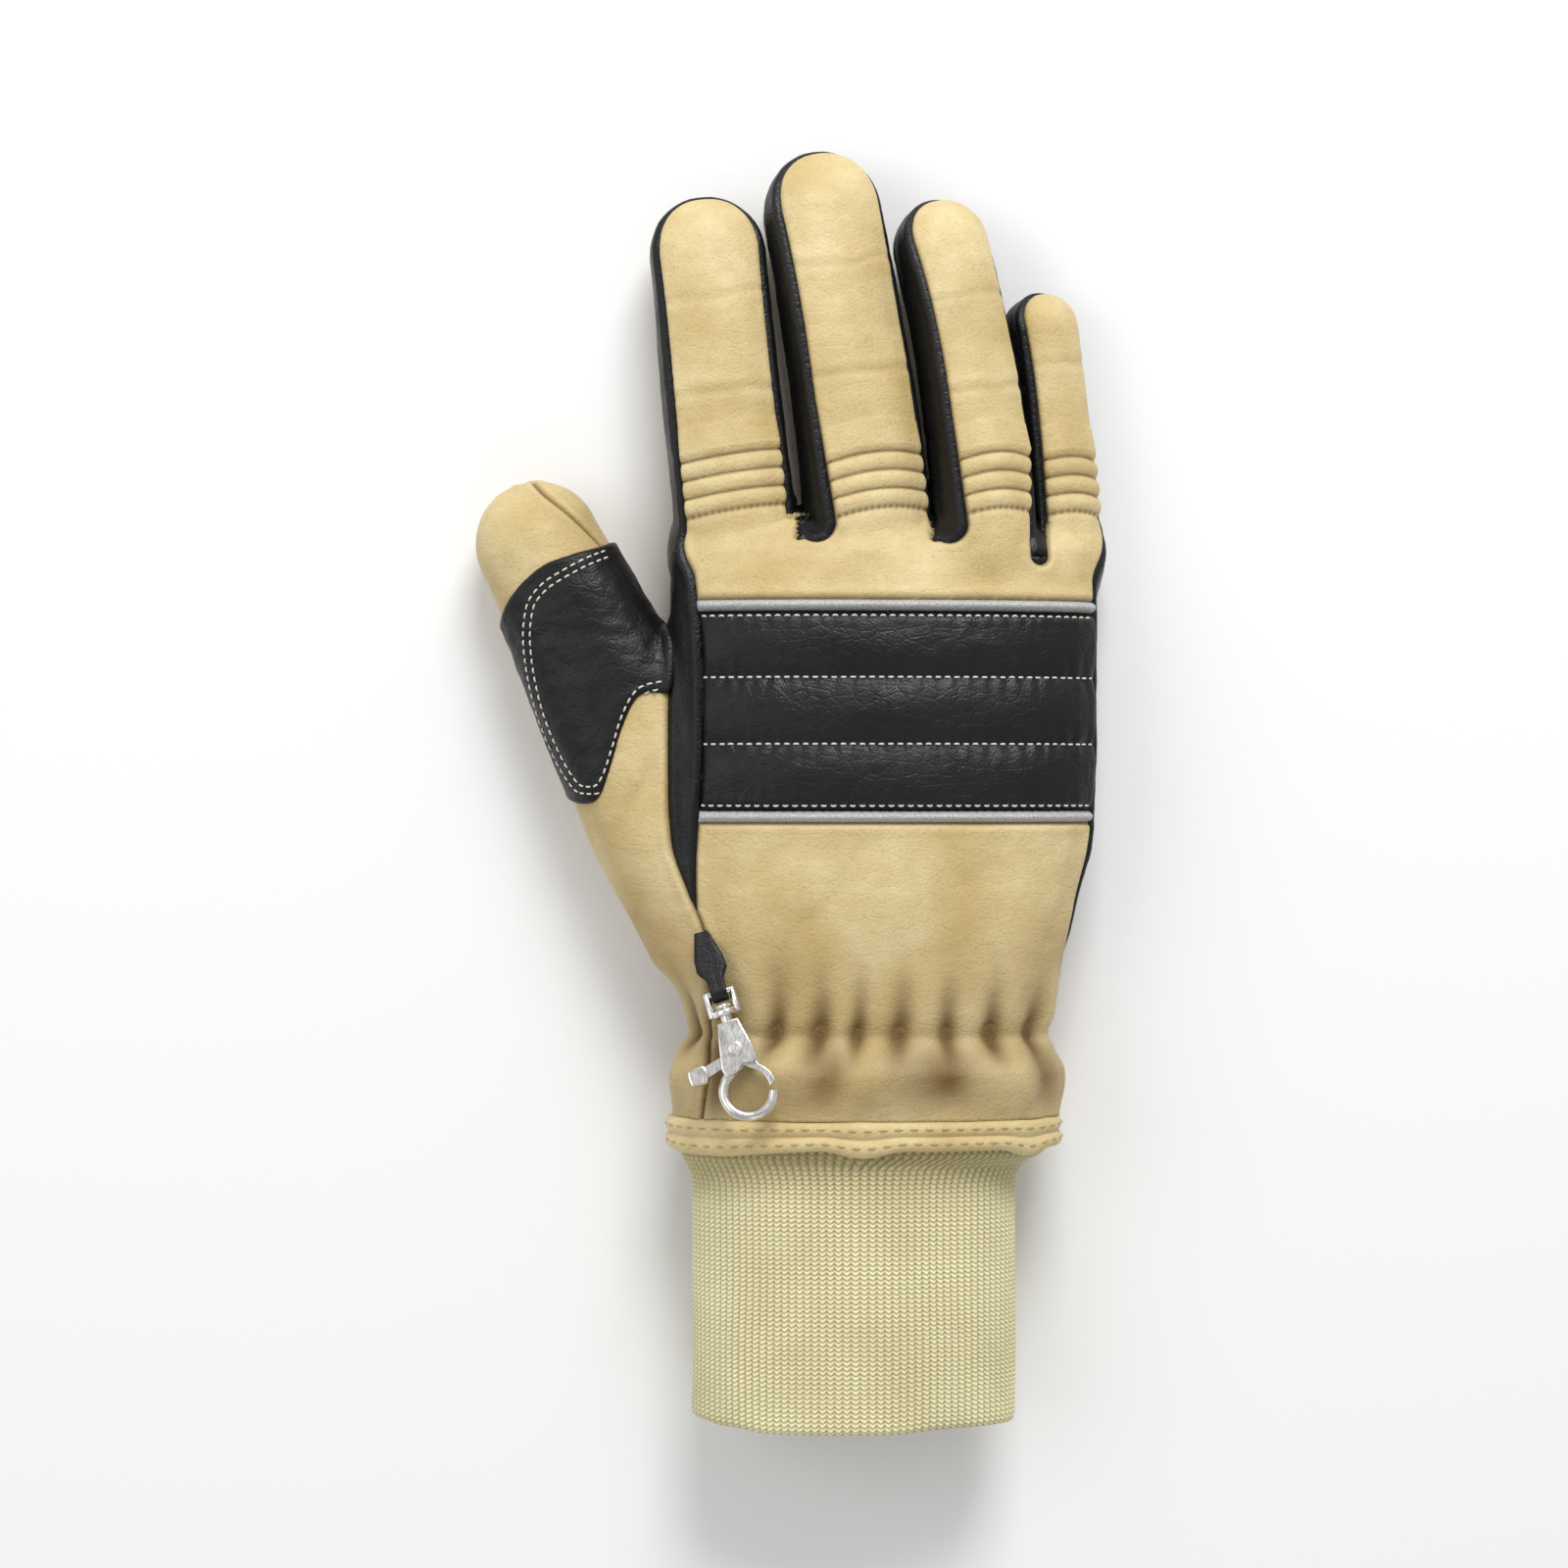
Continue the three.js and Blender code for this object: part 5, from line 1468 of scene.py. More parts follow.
def ring_share(u: Array, v: Array, half: Array, tall: Array) -> Array:
    """Gives the share of the way round a hand section, evenly spread over its length.

    Args:
        u: place across.
        v: place up.
        half: half width of the section.
        tall: half height of the section.

    Returns:
        Shares from 0 to 1.
    """
    angle = np.linspace(-np.pi, np.pi, 721)
    cos, sin = np.cos(angle), np.sin(angle)
    reach = (np.abs(cos) ** 2.6 + np.abs(sin) ** 2.6) ** (-1.0 / 2.6)
    points = np.stack([50.0 * reach * cos, 21.0 * reach * sin], axis=1)
    run = np.concatenate([[0.0], np.cumsum(np.linalg.norm(np.diff(points, axis=0), axis=1))])
    return np.interp(np.arctan2(v / tall, u / half), angle, run / run[-1])


@dataclass
class Relief:
    """Low relief of the leather: seams, ribs, quilting, gathers, creases. Sizes in millimetres."""

    form: GloveForm
    seams: Seams
    seam_depth: float = 0.9
    seam_width: float = 0.75
    rib_start: float = 8.0
    rib_pitch: float = 4.9
    rib_rise: float = 1.25
    rib_count: int = 4
    rib_slant: tuple[float, ...] = (0.06, 0.01, -0.02, -0.05)
    rib_arch: tuple[float, ...] = (0.7, 2.6, 2.6, 1.6)
    pad_rows: int = 3
    pad_rise: float = 1.7
    piping_rise: float = 0.9
    gather_line: float = 22.0
    pucker_waves: int = 19
    pucker_depth: float = 0.5
    pucker_reach: float = 8.0
    lobe_waves: int = 8
    lobe_rise: float = 3.2

    def __post_init__(self) -> None:
        """Fixes the noise."""
        self.noise = Noise(11)

    def folds(self, points: Array, label: Array) -> Array:
        """Adds soft creases all over the leather.

        Args:
            points: places.
            label: panel of each.

        Returns:
            Heights.
        """
        cross = points * np.array([0.45, 1.5, 1.0])
        rise = 0.55 * self.noise.rough(points, 24.0, 2) + 0.2 * self.noise.rough(cross, 8.0, 3)
        x, y, z = points.T
        lean = np.stack([x * 0.5 + y * 0.8, y * 0.5 - x * 0.8, z], axis=1)
        loose = smooth_step(95.0, 55.0, y) + smooth_step(-50.0, -66.0, x) * smooth_step(125.0, 85.0, y)
        valley = np.abs(self.noise.rough(lean * np.array([0.45, 1.1, 1.0]), 19.0, 2))
        rise += np.clip(loose, 0.0, 1.0) * 1.5 * (np.minimum(valley, 0.5) - 0.2)
        dark = np.isin(label, [number(part) for part in BLACK])
        slant = np.stack([points[:, 0] + points[:, 1] * 0.7, points[:, 1] - points[:, 0] * 0.7, points[:, 2]], axis=1)
        ridges = 1.0 - np.abs(self.noise.rough(slant * np.array([0.4, 1.0, 1.0]), 9.0, 3)) * 2.4
        rise += np.where(label == number(Part.PALM_PATCH), 0.5 * np.clip(ridges, -0.4, 1.0), 0.0)
        rise += np.where(dark, 0.12 * self.noise.rough(points, 3.5, 3), 0.0)
        thumb = np.isin(label, [number(Part.THUMB_FRONT), number(Part.THUMB_BACK)])
        rise += np.where(thumb, 0.3 * self.noise.rough(slant * np.array([1.0, 0.5, 1.0]), 10.0, 2), 0.0)
        return rise

    def ribs(self, points: Array, label: Array, rise: Array, shade: Array) -> None:
        """Adds the knuckle ribs of the four fingers to the heights and the painted shade."""
        which, _ = self.seams.nearest(points)
        band = (label == number(Part.BACK_FINGERS)) & (points[:, 1] > 150.0) & (points[:, 1] < 198.0)
        for i, finger in enumerate(self.form.fingers):
            rows = np.nonzero(band & (which == i))[0]
            along, u, _, half, _, _ = self.form.finger_section(finger, points[rows])
            d = along * finger.length - self.rib_start - self.rib_slant[i] * u + self.rib_arch[i] * (u / half) ** 2
            wave = np.abs(np.sin(np.pi * d / self.rib_pitch))
            inside = (d > 0.0) & (d < self.rib_count * self.rib_pitch)
            top = d > (self.rib_count - 0.5) * self.rib_pitch
            soft = np.where(top & (d < self.rib_count * self.rib_pitch + 4.0), smooth_step(28.0, 15.0, d), 0.0)
            flat = -0.4 * bell(d + 0.3, 0.9) + 0.85 * soft
            rise[rows] += np.where(inside & ~top, self.rib_rise * wave ** 0.6 - 0.35, flat)
            # painted shade in the grooves between the ribs, and a dashed dark line at their base for tone-on-tone
            # stitching with painted shade in its groove
            dash = 0.6 + 0.4 * np.sin(u * 3.6)
            dark = 0.8 * (1.0 - smooth_step(0.05, 0.42, wave)) * ~(top | (d < self.rib_pitch * 0.5))
            shade[rows] += np.where(inside, dark, 0.0) + 0.75 * dash * bell(d, 0.6)

    def quilting(self, points: Array, label: Array, seam: Array, rise: Array, shade: Array) -> None:
        """Adds the padded channels and the piping's beads to the heights, with painted shade along the channels'
        borders.
        """
        low = self.seams.pad_top - self.seams.pad_length
        place = (points[:, 1] - low) / self.seams.pad_length * self.pad_rows
        wave = np.abs(np.sin(np.pi * place))
        pad = label == number(Part.BACK_PAD)
        pinch = 0.22 * np.sin(points[:, 0] * 1.5 + 2.0 * self.noise(points, 6.0)) * (1.0 - wave)
        swell = self.pad_rise * wave ** 0.55 * (1.0 + 0.16 * self.noise(points, 14.0)) + pinch
        rise += np.where(pad, swell * smooth_step(0.0, 3.0, seam) - 0.2, 0.0)
        # painted shade in the pinched, stitched borders between the pad's channels
        shade += np.where(pad, 0.5 * (1.0 - smooth_step(0.0, 0.35, wave)), 0.0)
        edges = {Part.PIPING_UPPER: self.seams.pad_top, Part.PIPING_LOWER: low - self.seams.piping_width}
        for part, low_edge in edges.items():
            off = (points[:, 1] - low_edge) / self.seams.piping_width * 2.0 - 1.0
            bead = np.sqrt(np.clip(1.0 - off ** 2, 0.0, 1.0))
            rise += np.where(label == number(part), self.piping_rise * bead, 0.0)

    def gathers(self, points: Array, label: Array, rise: Array, shade: Array) -> None:
        """Adds the elastic's puckers and the lobes below it to the heights, with painted shade in their valleys."""
        u, v, half, tall, _ = self.form.hand_section(points)
        round_share = ring_share(u, v, half, tall)
        y = points[:, 1]
        d = y - self.gather_line
        drift = 0.9 * self.noise(points * np.array([1.0, 0.5, 0.3]), 17.0)
        turn = 2.0 * np.pi * round_share
        pucker = 0.5 + 0.5 * np.cos(self.pucker_waves * turn + 2.2 * drift)
        lobe = 0.5 + 0.5 * np.cos(self.lobe_waves * turn + 1.6 * drift + 0.8)
        low = y < 60.0
        fan = np.where(d > 0.0, bell(d, self.pucker_reach * 1.5), bell(d, self.pucker_reach * 0.75))
        change = -self.pucker_depth * bell(d, 1.6) - 0.5 * bell(d, 4.0)
        change += 2.3 * (pucker ** 0.7 - 0.6) * fan - 0.9 * (1.0 - pucker) ** 2 * bell(d - 1.0, 2.6)
        below = np.sin(np.pi * np.clip((y + 1.0) / (self.gather_line + 1.0), 0.0, 1.0)) ** 1.3
        change += self.lobe_rise * (lobe ** 0.55 - 0.45) * below
        rise += np.where(low, change, 0.0)
        # painted shade in the valleys between puckers and lobes and along the elastic line, and darker towards the
        # wrist end
        valley = (1.0 - pucker) ** 2 * fan * 0.75 + 0.15 * bell(d, 0.9) + 0.6 * (1.0 - lobe) ** 2 * below
        valley += 0.22 * smooth_step(75.0, 20.0, y)
        shade += np.where(low, valley, 0.0)

    def creases(self, points: Array, label: Array, rise: Array, shade: Array) -> None:
        """Adds the folds across the palm side of the fingers to the heights, with painted shade along the creases."""
        palm = label == number(Part.PALM_FINGERS)
        back = (label == number(Part.BACK_FINGERS)) & (points[:, 1] > 186.0)
        for i, finger in enumerate(self.form.fingers):
            aside = points[:, 0] - finger.place * self.form.palm_width - 8.0 * (i - 1)
            which = (np.abs(aside) < 26.0) & (points[:, 1] > 150.0)
            rows = np.nonzero(which & (palm | back))[0]
            along, _, _, _, _, away = self.form.finger_section(finger, points[rows])
            own = np.abs(away) < 1.5
            wiggle = self.noise(points[rows] * np.array([1.0, 0.2, 1.0]), 9.0)
            for share, deep in ((0.2, 0.5), (0.42, 0.8), (0.7, 0.6)):
                off = along * finger.length - share * finger.length + 1.6 * wiggle
                line = bell(off, 1.1) - 0.45 * bell(np.abs(off) - 2.4, 1.4)
                force = np.where(palm[rows], deep, deep * 0.35) * own
                rise[rows] -= force * line
                # painted shade along the creases
                shade[rows] += 0.3 * force * bell(off, 0.9)

    def apply(self, points: Array, label: Array, seam: Array) -> tuple[Array, Array]:
        """Works out the whole relief.

        Args:
            points: places on the smooth surface.
            label: panel of each.
            seam: distance of each from the nearest seam.

        Returns:
            Heights and painted shade.
        """
        soft = smooth_step(0.0, 2.6, seam)
        rise = self.folds(points, label) * soft
        # painted shade in the hollows of the folds
        shade = 0.3 * np.clip(-rise, 0.0, 1.0)
        low_rise, low_shade = np.zeros(len(points)), np.zeros(len(points))
        self.ribs(points, label, low_rise, low_shade)
        self.creases(points, label, low_rise, low_shade)
        rise += low_rise * smooth_step(0.0, 1.8, seam)
        shade += low_shade * smooth_step(0.0, 0.8, seam)
        self.quilting(points, label, seam, rise, shade)
        self.gathers(points, label, rise, shade)
        rise += 0.34 * bell(seam - 2.0, 1.2) - self.seam_depth * bell(seam, self.seam_width)
        # painted shade in the seam grooves
        shade += 0.8 * bell(seam, 0.6)
        return rise, shade


@dataclass
class LeatherShell:
    """Leather of hand, fingers and thumb, one panel for each node. Sizes in millimetres."""

    form: GloveForm
    finishes: Finishes
    cell: float = 1.0
    wall: float = 2.2
    hem_line: float = -0.3

    def __post_init__(self) -> None:
        """Sets up seams and relief."""
        self.seams = Seams(self.form)
        self.relief = Relief(self.form, self.seams)

    def shape(self) -> None:
        """Meshes the skin, cuts its seams and raises its relief."""
        skin = Skin.from_form(self.form, self.cell)
        skin.cut(lambda p: self.hem_line - p[:, 1], [0], 1)
        keep = skin.label == 0
        skin.tris, skin.label = skin.tris[keep], skin.label[keep]
        skin.refine(lambda p: (np.abs(p[:, 1] - 172.0) < 13.5) & (p[:, 2] > 18.0))
        self.seams.label(skin)
        used = np.unique(skin.tris)
        remap = np.zeros(len(skin.verts), dtype=int)
        remap[used] = np.arange(len(used))
        skin.verts, skin.tris = skin.verts[used], remap[skin.tris]
        log.info("skin: %d points, %d faces", len(skin.verts), len(skin.tris))
        self.seam = self.seam_distance(skin)
        near = self.seam
        tris = skin.tris
        flags = near[tris].min(axis=1) < 1.7
        skin.refine(lambda p: flags)
        self.seam = self.seam_distance(skin)
        label = np.zeros(len(skin.verts), dtype=int)
        np.maximum.at(label, skin.tris.ravel(), np.repeat(skin.label, 3))
        self.skin = skin
        self.normal = self.form.normals(skin.verts)
        rise, shade = self.relief.apply(skin.verts, label, self.seam)
        flat = smooth_step(0.0, 2.5, skin.verts[:, 2])
        rise = np.where(self.normal[:, 2] < -0.2, rise * (0.35 + 0.65 * flat), rise)
        self.shade = shade
        self.outer = skin.verts + self.normal * rise[:, None]
        floor = np.where(self.normal[:, 2] < 0.0, np.clip(0.35 - rise * 0.5, 0.02, 1.2) * (1.0 - flat), 0.02)
        self.outer[:, 2] = np.maximum(self.outer[:, 2], floor)
        self.inner = skin.verts - self.normal * self.wall
        self.surface = Surface(self.outer, skin.tris, skin.label)

    @staticmethod
    def seam_distance(skin: Skin) -> Array:
        """Measures every point's distance from the nearest seam."""
        low = np.full(len(skin.verts), 99)
        high = np.full(len(skin.verts), -1)
        np.minimum.at(low, skin.tris.ravel(), np.repeat(skin.label, 3))
        np.maximum.at(high, skin.tris.ravel(), np.repeat(skin.label, 3))
        spots = skin.verts[low != high]
        tree = KDTree(len(spots))
        for i, spot in enumerate(spots):
            tree.insert(spot, i)
        tree.balance()
        return np.array([tree.find(spot)[2] for spot in skin.verts])

    def build(self) -> None:
        """Makes the panels."""
        tan, black = self.finishes.tan.material(), self.finishes.black.material()
        grey = self.finishes.piping.material()
        self.black, self.tan = black, tan
        for part in PARTS:
            tris = self.skin.tris[self.skin.label == number(part)]
            if not len(tris):
                log.warning("%s has no faces", part.value)
                continue
            piping = part in (Part.PIPING_UPPER, Part.PIPING_LOWER)
            thing = skin_object("panel_" + part.value, self.form.to_frame, self.outer, self.inner, tris, self.shade)
            material = grey if piping else black if part in BLACK else tan
            slot = "grey_piping" if piping else "black_leather" if part in BLACK else "tan_leather"
            dress(thing, material, ROOT, slot, part.value)

    def overlay(
            self, outline: Array, low: float, thick: float, soft: float,
    ) -> tuple[Array, Array, Array, Array, Array]:
        """Makes a patch that lies on the skin inside a plan outline.

        Args:
            outline: corners of the patch.
            low: height above which the skin is covered.
            thick: thickness of the patch.
            soft: width of its rounded edge.

        Returns:
            Outer points, inner points, triangles, painted shade along the patch's edge and distance from the edge.
        """
        skin = Skin(self.skin.verts.copy(), self.skin.tris.copy())
        low_corner, high_corner = outline.min(axis=0) - 3.0, outline.max(axis=0) + 3.0
        middle = skin.verts[skin.tris].mean(axis=1)
        near = (middle[:, :2] > low_corner).all(axis=1) & (middle[:, :2] < high_corner).all(axis=1)
        near &= (middle[:, 2] > low - 3.0) & (self.form.normals(middle)[:, 2] > -0.35)
        skin.tris = skin.tris[near]
        skin.label = np.zeros(len(skin.tris), dtype=int)

        def depth(points: Array) -> Array:
            """Is positive inside the patch."""
            return np.minimum(outline_distance(outline, points), points[:, 2] - low)

        skin.cut(depth, [0], 1)
        tris = skin.tris[skin.label == 1]
        skin.tris, skin.label = tris, np.zeros(len(tris), dtype=int)
        skin.refine(lambda p: depth(p) < 2.0)
        tris = skin.tris
        used = np.unique(tris)
        remap = np.zeros(len(skin.verts), dtype=int)
        remap[used] = np.arange(len(used))
        verts, tris = skin.verts[used], remap[tris]
        inside = depth(verts)
        normal = self.form.normals(verts)
        noise = self.relief.noise
        folds = 0.4 * noise.rough(verts * np.array([1.0, 0.6, 1.0]), 11.0, 3) + 0.22 * noise.rough(verts, 4.0, 3)
        folds += 0.3 * (0.6 - np.abs(noise.rough(verts * np.array([0.5, 1.3, 1.0]), 7.0, 3)) * 2.0)
        edge = np.sqrt(np.clip(1.0 - (1.0 - np.clip(inside / soft, 0.0, 1.0)) ** 2, 0.0, 1.0))
        top = 0.25 + thick * edge + folds * smooth_step(0.0, 3.0, inside)
        # the fourth value is painted shade along the patch's edge
        return verts + normal * top[:, None], verts + normal * 0.1, tris, 0.5 * bell(inside, 0.6), inside


@dataclass
class ThumbPatch:
    """Black patch on the back of the thumb with its double stitching. Sizes in millimetres."""

    shell: LeatherShell
    thick: float = 1.6
    low: float = 12.9
    rows: tuple[float, ...] = (0.0, 1.9)
    corners: tuple[tuple[float, float], ...] = (
        (-0.65, 0.993), (-0.72, 0.975), (-0.8, 0.95), (-0.875, 0.89), (-0.9, 0.81), (-0.89, 0.73), (-0.86, 0.655),
        (-0.8, 0.59), (-0.73, 0.551), (-0.69, 0.541), (-0.658, 0.553), (-0.632, 0.6), (-0.609, 0.66), (-0.58, 0.713),
        (-0.55, 0.733), (-0.49, 0.737), (-0.486, 0.81), (-0.51, 0.87), (-0.57, 0.97), (-0.62, 1.02),
    )
    seam_line: tuple[tuple[float, float], ...] = (
        (952, 561), (932, 570), (910, 582), (887, 597), (872, 618), (868, 650), (870, 676), (879, 721), (894, 761),
        (911, 792), (926, 807), (943, 808), (954, 796), (965, 766), (976, 731), (992, 706), (1014, 701),
    )

    def build(self) -> None:
        """Makes the patch and its stitching."""
        form = self.shell.form
        outline = rounded_outline(np.array(self.corners) * np.array([form.palm_width, form.body_length]), 5)
        outer, inner, tris, shade, _ = self.shell.overlay(outline, self.low, self.thick, 1.3)
        thing = skin_object("thumb_patch_leather", form.to_frame, outer, inner, tris, shade)
        dress(thing, self.shell.black, ROOT, "black_leather", "thumb_patch")
        surface = Surface(outer, tris, np.ones(len(tris), dtype=int))
        thread = Stitching(length=1.75, gap=0.75, radius=0.25)
        corners = np.array(self.seam_line, dtype=float)
        corners = np.stack([(corners[:, 0] - 1140.0) * 0.265 - 24.5, (800.0 - corners[:, 1]) * 0.265 + 88.0], axis=1)
        run = np.concatenate([[0.0], np.cumsum(np.linalg.norm(np.diff(corners, axis=0), axis=1))])
        even = np.linspace(0.0, run[-1], 140)
        line = np.stack([Curve(run, corners[:, k])(even) for k in (0, 1)], axis=1)
        ahead = np.gradient(line, axis=0)
        inward = np.stack([-ahead[:, 1], ahead[:, 0]], axis=1) / np.linalg.norm(ahead, axis=1)[:, None]
        for inset in self.rows:
            thread.over(surface, line + inward * inset, True, [])
        thread.object("thumb_patch_stitches", form, self.shell.finishes.thread.material())


@dataclass
class Needlework:
    """Stitch rows on the back and the palm of the hand. Sizes in millimetres."""

    shell: LeatherShell
    edge: float = 1.5
    second: float = 3.2
    palm_vee: tuple[tuple[float, float], ...] = ((0.63, 0.79), (0.25, 0.805), (0.06, 0.75), (0.56, 0.475))

    def build(self) -> None:
        """Sews the rows."""
        shell, form = self.shell, self.shell.form
        material = shell.finishes.thread.material()
        wide = form.palm_width * 0.62
        back = Stitching(length=1.75, gap=0.8, radius=0.27)
        top, length = shell.seams.pad_top, shell.seams.pad_length
        for y in (top - self.edge, top - length / 3.0, top - length * 2.0 / 3.0, top - length + self.edge):
            bow = np.linspace(-wide, wide, 60)
            back.over(shell.surface, np.stack([bow, np.full(60, y)], axis=1), True, [number(Part.BACK_PAD)])
        back.object("back_stitches", form, material)
        palm = Stitching(length=1.75, gap=0.8, radius=0.27)
        far = form.palm_width * 2.0
        for shares, sign in ((shell.seams.patch_upper, -1.0), (shell.seams.patch_lower, 1.0)):
            for inset in (self.edge, self.second):
                line = np.array([[-far, shares[0] * form.body_length], [far, shares[1] * form.body_length]])
                line[:, 1] += sign * inset
                near = np.linspace(0.3, 0.7, 80)[:, None]
                palm.over(shell.surface, line[0] * (1 - near) + line[1] * near, False, [number(Part.PALM_PATCH)])
        corners = np.array(self.palm_vee) * np.array([form.palm_width, form.body_length])
        for shift in (0.0, 2.0):
            palm.over(shell.surface, corners - np.array([0.0, shift]), False, [number(Part.PALM_PATCH)])
        palm.object("palm_stitches", form, material)


@dataclass
class Cuff:
    """Rolled hem, knitted cuff and the patch on its palm side. Sizes in millimetres."""

    form: GloveForm
    finishes: Finishes
    width: float = 86.5
    depth: float = 43.6
    knit_wall: float = 2.6
    wales: int = 104
    rib_rise: float = 0.62
    row_pitch: float = 1.25
    patch_thick: float = 1.6
    hem_length: float = 9.5
    hem_waves: int = 6
    hem_wave: float = 1.9
    rows: tuple[tuple[float, float, float], ...] = (
        (0.165, 1.1, 0.975), (0.2, 1.05, 0.965), (0.27, 1.0, 0.96), (1.0, 1.0, 1.0),
    )
    patch_rows: tuple[tuple[float, float], ...] = (
        (0.0, 0.0), (1.0, 0.0), (0.98, 0.3), (0.9, 0.62), (0.78, 0.86), (0.62, 0.98), (0.48, 1.0), (0.3, 0.92),
        (0.14, 0.7), (0.03, 0.35),
    )

    def __post_init__(self) -> None:
        """Reads the table into curves."""
        self.wide = Curve([r[0] for r in self.rows], [r[1] for r in self.rows])
        self.deep = Curve([r[0] for r in self.rows], [r[2] for r in self.rows])
        self.noise = Noise(5)

    def even_turn(self, share: Array) -> Array:
        """Spreads shares round an oval evenly over its length."""
        angle = np.linspace(-np.pi, np.pi, 1441)
        run = np.concatenate([[0.0], np.cumsum(np.hypot(
            np.diff(self.width * np.cos(angle)), np.diff(self.depth * np.sin(angle))))])
        return np.interp(share, run / run[-1], angle)

    def hand_ring(self, angle: Array, offset: Array) -> Array:
        """Gives points round the leather's end.

        Args:
            angle: angles round it.
            offset: distance outside the leather.

        Returns:
            Points, with the offset along the section's own plane.
        """
        middle, half, top, bottom, _ = (float(curve(np.zeros(1))[0]) for curve in self.form.hand)
        half = half * self.form.palm_width
        tall = (top - bottom) * self.form.palm_depth / 2.0
        power = np.where(np.sin(angle) >= 0.0, 2.35, 3.1)
        cos, sin = np.cos(angle), np.sin(angle)
        x = np.sign(cos) * np.abs(cos) ** (2.0 / power) * (half + offset)
        z = np.sign(sin) * np.abs(sin) ** (2.0 / power) * (tall + offset) + (top + bottom) * self.form.palm_depth / 2.0
        return np.stack([middle * self.form.palm_width + x, z], axis=-1)

    def knit_ring(self, angle: Array, y: Array, offset: Array) -> Array:
        """Gives points of the knitted tube.

        Args:
            angle: angles round it.
            y: places along it.
            offset: distance outside it.

        Returns:
            Points of the tube.
        """
        share = (self.form.cuff_start - y) / self.form.cuff_length
        wide = self.width / 2.0 * self.wide(share) + offset
        deep = self.depth * self.deep(share)
        cos, sin = np.cos(angle), np.sin(angle)
        x = np.sign(cos) * np.abs(cos) ** (2.0 / 2.1) * wide + self.form.cuff_middle * self.form.palm_width
        z = np.sign(sin) * np.abs(sin) ** (2.0 / 2.1) * (deep / 2.0 + offset) + 1.9 + deep / 2.0
        tucked = self.hand_ring(angle, offset - 3.2)
        hold = smooth_step(-13.5, -9.0, y)
        x = x * (1.0 - hold) + tucked[..., 0] * hold
        z = z * (1.0 - hold) + tucked[..., 1] * hold
        return np.stack([x, y, z], axis=-1)

    def knit(self) -> bpy.types.Object:
        """Makes the knitted tube, with the chart that its stitches follow.

        Returns:
            The cuff.
        """
        per_wale = 6
        count = self.wales * per_wale
        step = 0.85
        start, end = self.form.cuff_start, self.form.cuff_start - self.form.cuff_length
        ys = np.linspace(start, end, int((start - end) / step))
        share = np.arange(count) / count
        grid_share, grid_y = np.meshgrid(share, ys)
        angle = self.even_turn(grid_share)
        wale = grid_share * self.wales
        around, down = grid_share.ravel() * 260.0, grid_y.ravel()
        shake = self.noise(np.stack([around, down * 0.5, 0 * down], axis=1), 9.0)
        shake = shake.reshape(grid_y.shape)
        rib = np.abs(np.cos(np.pi * wale)) ** 0.8
        puff = 0.45 * self.noise(np.stack([around, down, 0 * down + 3.0], axis=1), 21.0)
        puff = puff.reshape(grid_y.shape) * smooth_step(-12.0, -25.0, grid_y)
        offset = self.rib_rise * (rib - 0.6) * (1.0 + 0.25 * shake) + puff
        ripple = 0.8 * np.cos(2 * np.pi * grid_share * 3.0 + 0.6) + 0.4 * shake
        bow = 1.4 * np.cos(angle) ** 2 * smooth_step(-30.0, end, grid_y)
        drop = np.minimum(ripple * smooth_step(-40.0, end, grid_y) + bow, 2.0)
        last = (grid_y - end) < 1.7
        offset = np.where(last, offset - 0.55 * (1.0 - (grid_y - end) / 1.7), offset)
        outer = self.knit_ring(angle, grid_y + np.maximum(drop, 0.0), offset)
        outer[..., 2] = np.maximum(outer[..., 2], 1.75)
        inner = self.knit_ring(angle, grid_y + np.maximum(drop, 0.0), np.full_like(offset, -self.knit_wall))
        # painted shade: darker in the grooves between the ribs and near the top, under the hem
        shade = 0.55 * (1.0 - rib) ** 1.2 + 0.55 * smooth_step(-26.0, -11.0, grid_y)
        rows = len(ys)
        verts = np.concatenate([outer.reshape(-1, 3), inner.reshape(-1, 3)])
        i, j = np.meshgrid(np.arange(rows - 1), np.arange(count), indexing="ij")
        i, j = i.ravel(), j.ravel()
        n = (j + 1) % count
        base = rows * count
        a, b, c, d = i * count + j, i * count + n, (i + 1) * count + n, (i + 1) * count + j
        faces = [np.stack([a, d, c, b], axis=1), np.stack([a, b, c, d], axis=1) + base]
        j = np.arange(count)
        n = (j + 1) % count
        tail = (rows - 1) * count
        faces.append(np.stack([j, n, n + base, j + base], axis=1))
        faces.append(np.stack([tail + n, tail + j, tail + j + base, tail + n + base], axis=1))
        quads = np.concatenate(faces)
        mesh = bpy.data.meshes.new("knit_cuff_tube")
        mesh.from_pydata(self.form.to_frame(verts).tolist(), [], quads.tolist())
        mesh.update()
        mesh.polygons.foreach_set("use_smooth", np.ones(len(quads), dtype=bool))
        layer = mesh.uv_layers.new(name="knit")
        loops = np.empty(len(mesh.loops), dtype=np.int32)
        mesh.loops.foreach_get("vertex_index", loops)
        grid = loops % base
        column, row = grid % count, grid // count
        first = np.repeat(np.minimum.reduceat(column, np.arange(0, len(column), 4)), 4)
        last_column = np.repeat(np.maximum.reduceat(column, np.arange(0, len(column), 4)), 4)
        column = np.where((last_column - first > count // 2) & (column == 0), count, column)
        chart = np.stack([column / per_wale + 0.5, (start - ys[row]) / self.row_pitch], axis=1)
        layer.data.foreach_set("uv", chart.astype(np.float32).ravel())
        stored = mesh.attributes.new("shade", "FLOAT", "POINT")
        stored.data.foreach_set("value", np.tile(np.clip(shade.ravel(), 0.0, 1.0), 2).astype(np.float32))
        thing = bpy.data.objects.new("knit_cuff_tube", mesh)
        bpy.context.scene.collection.objects.link(thing)
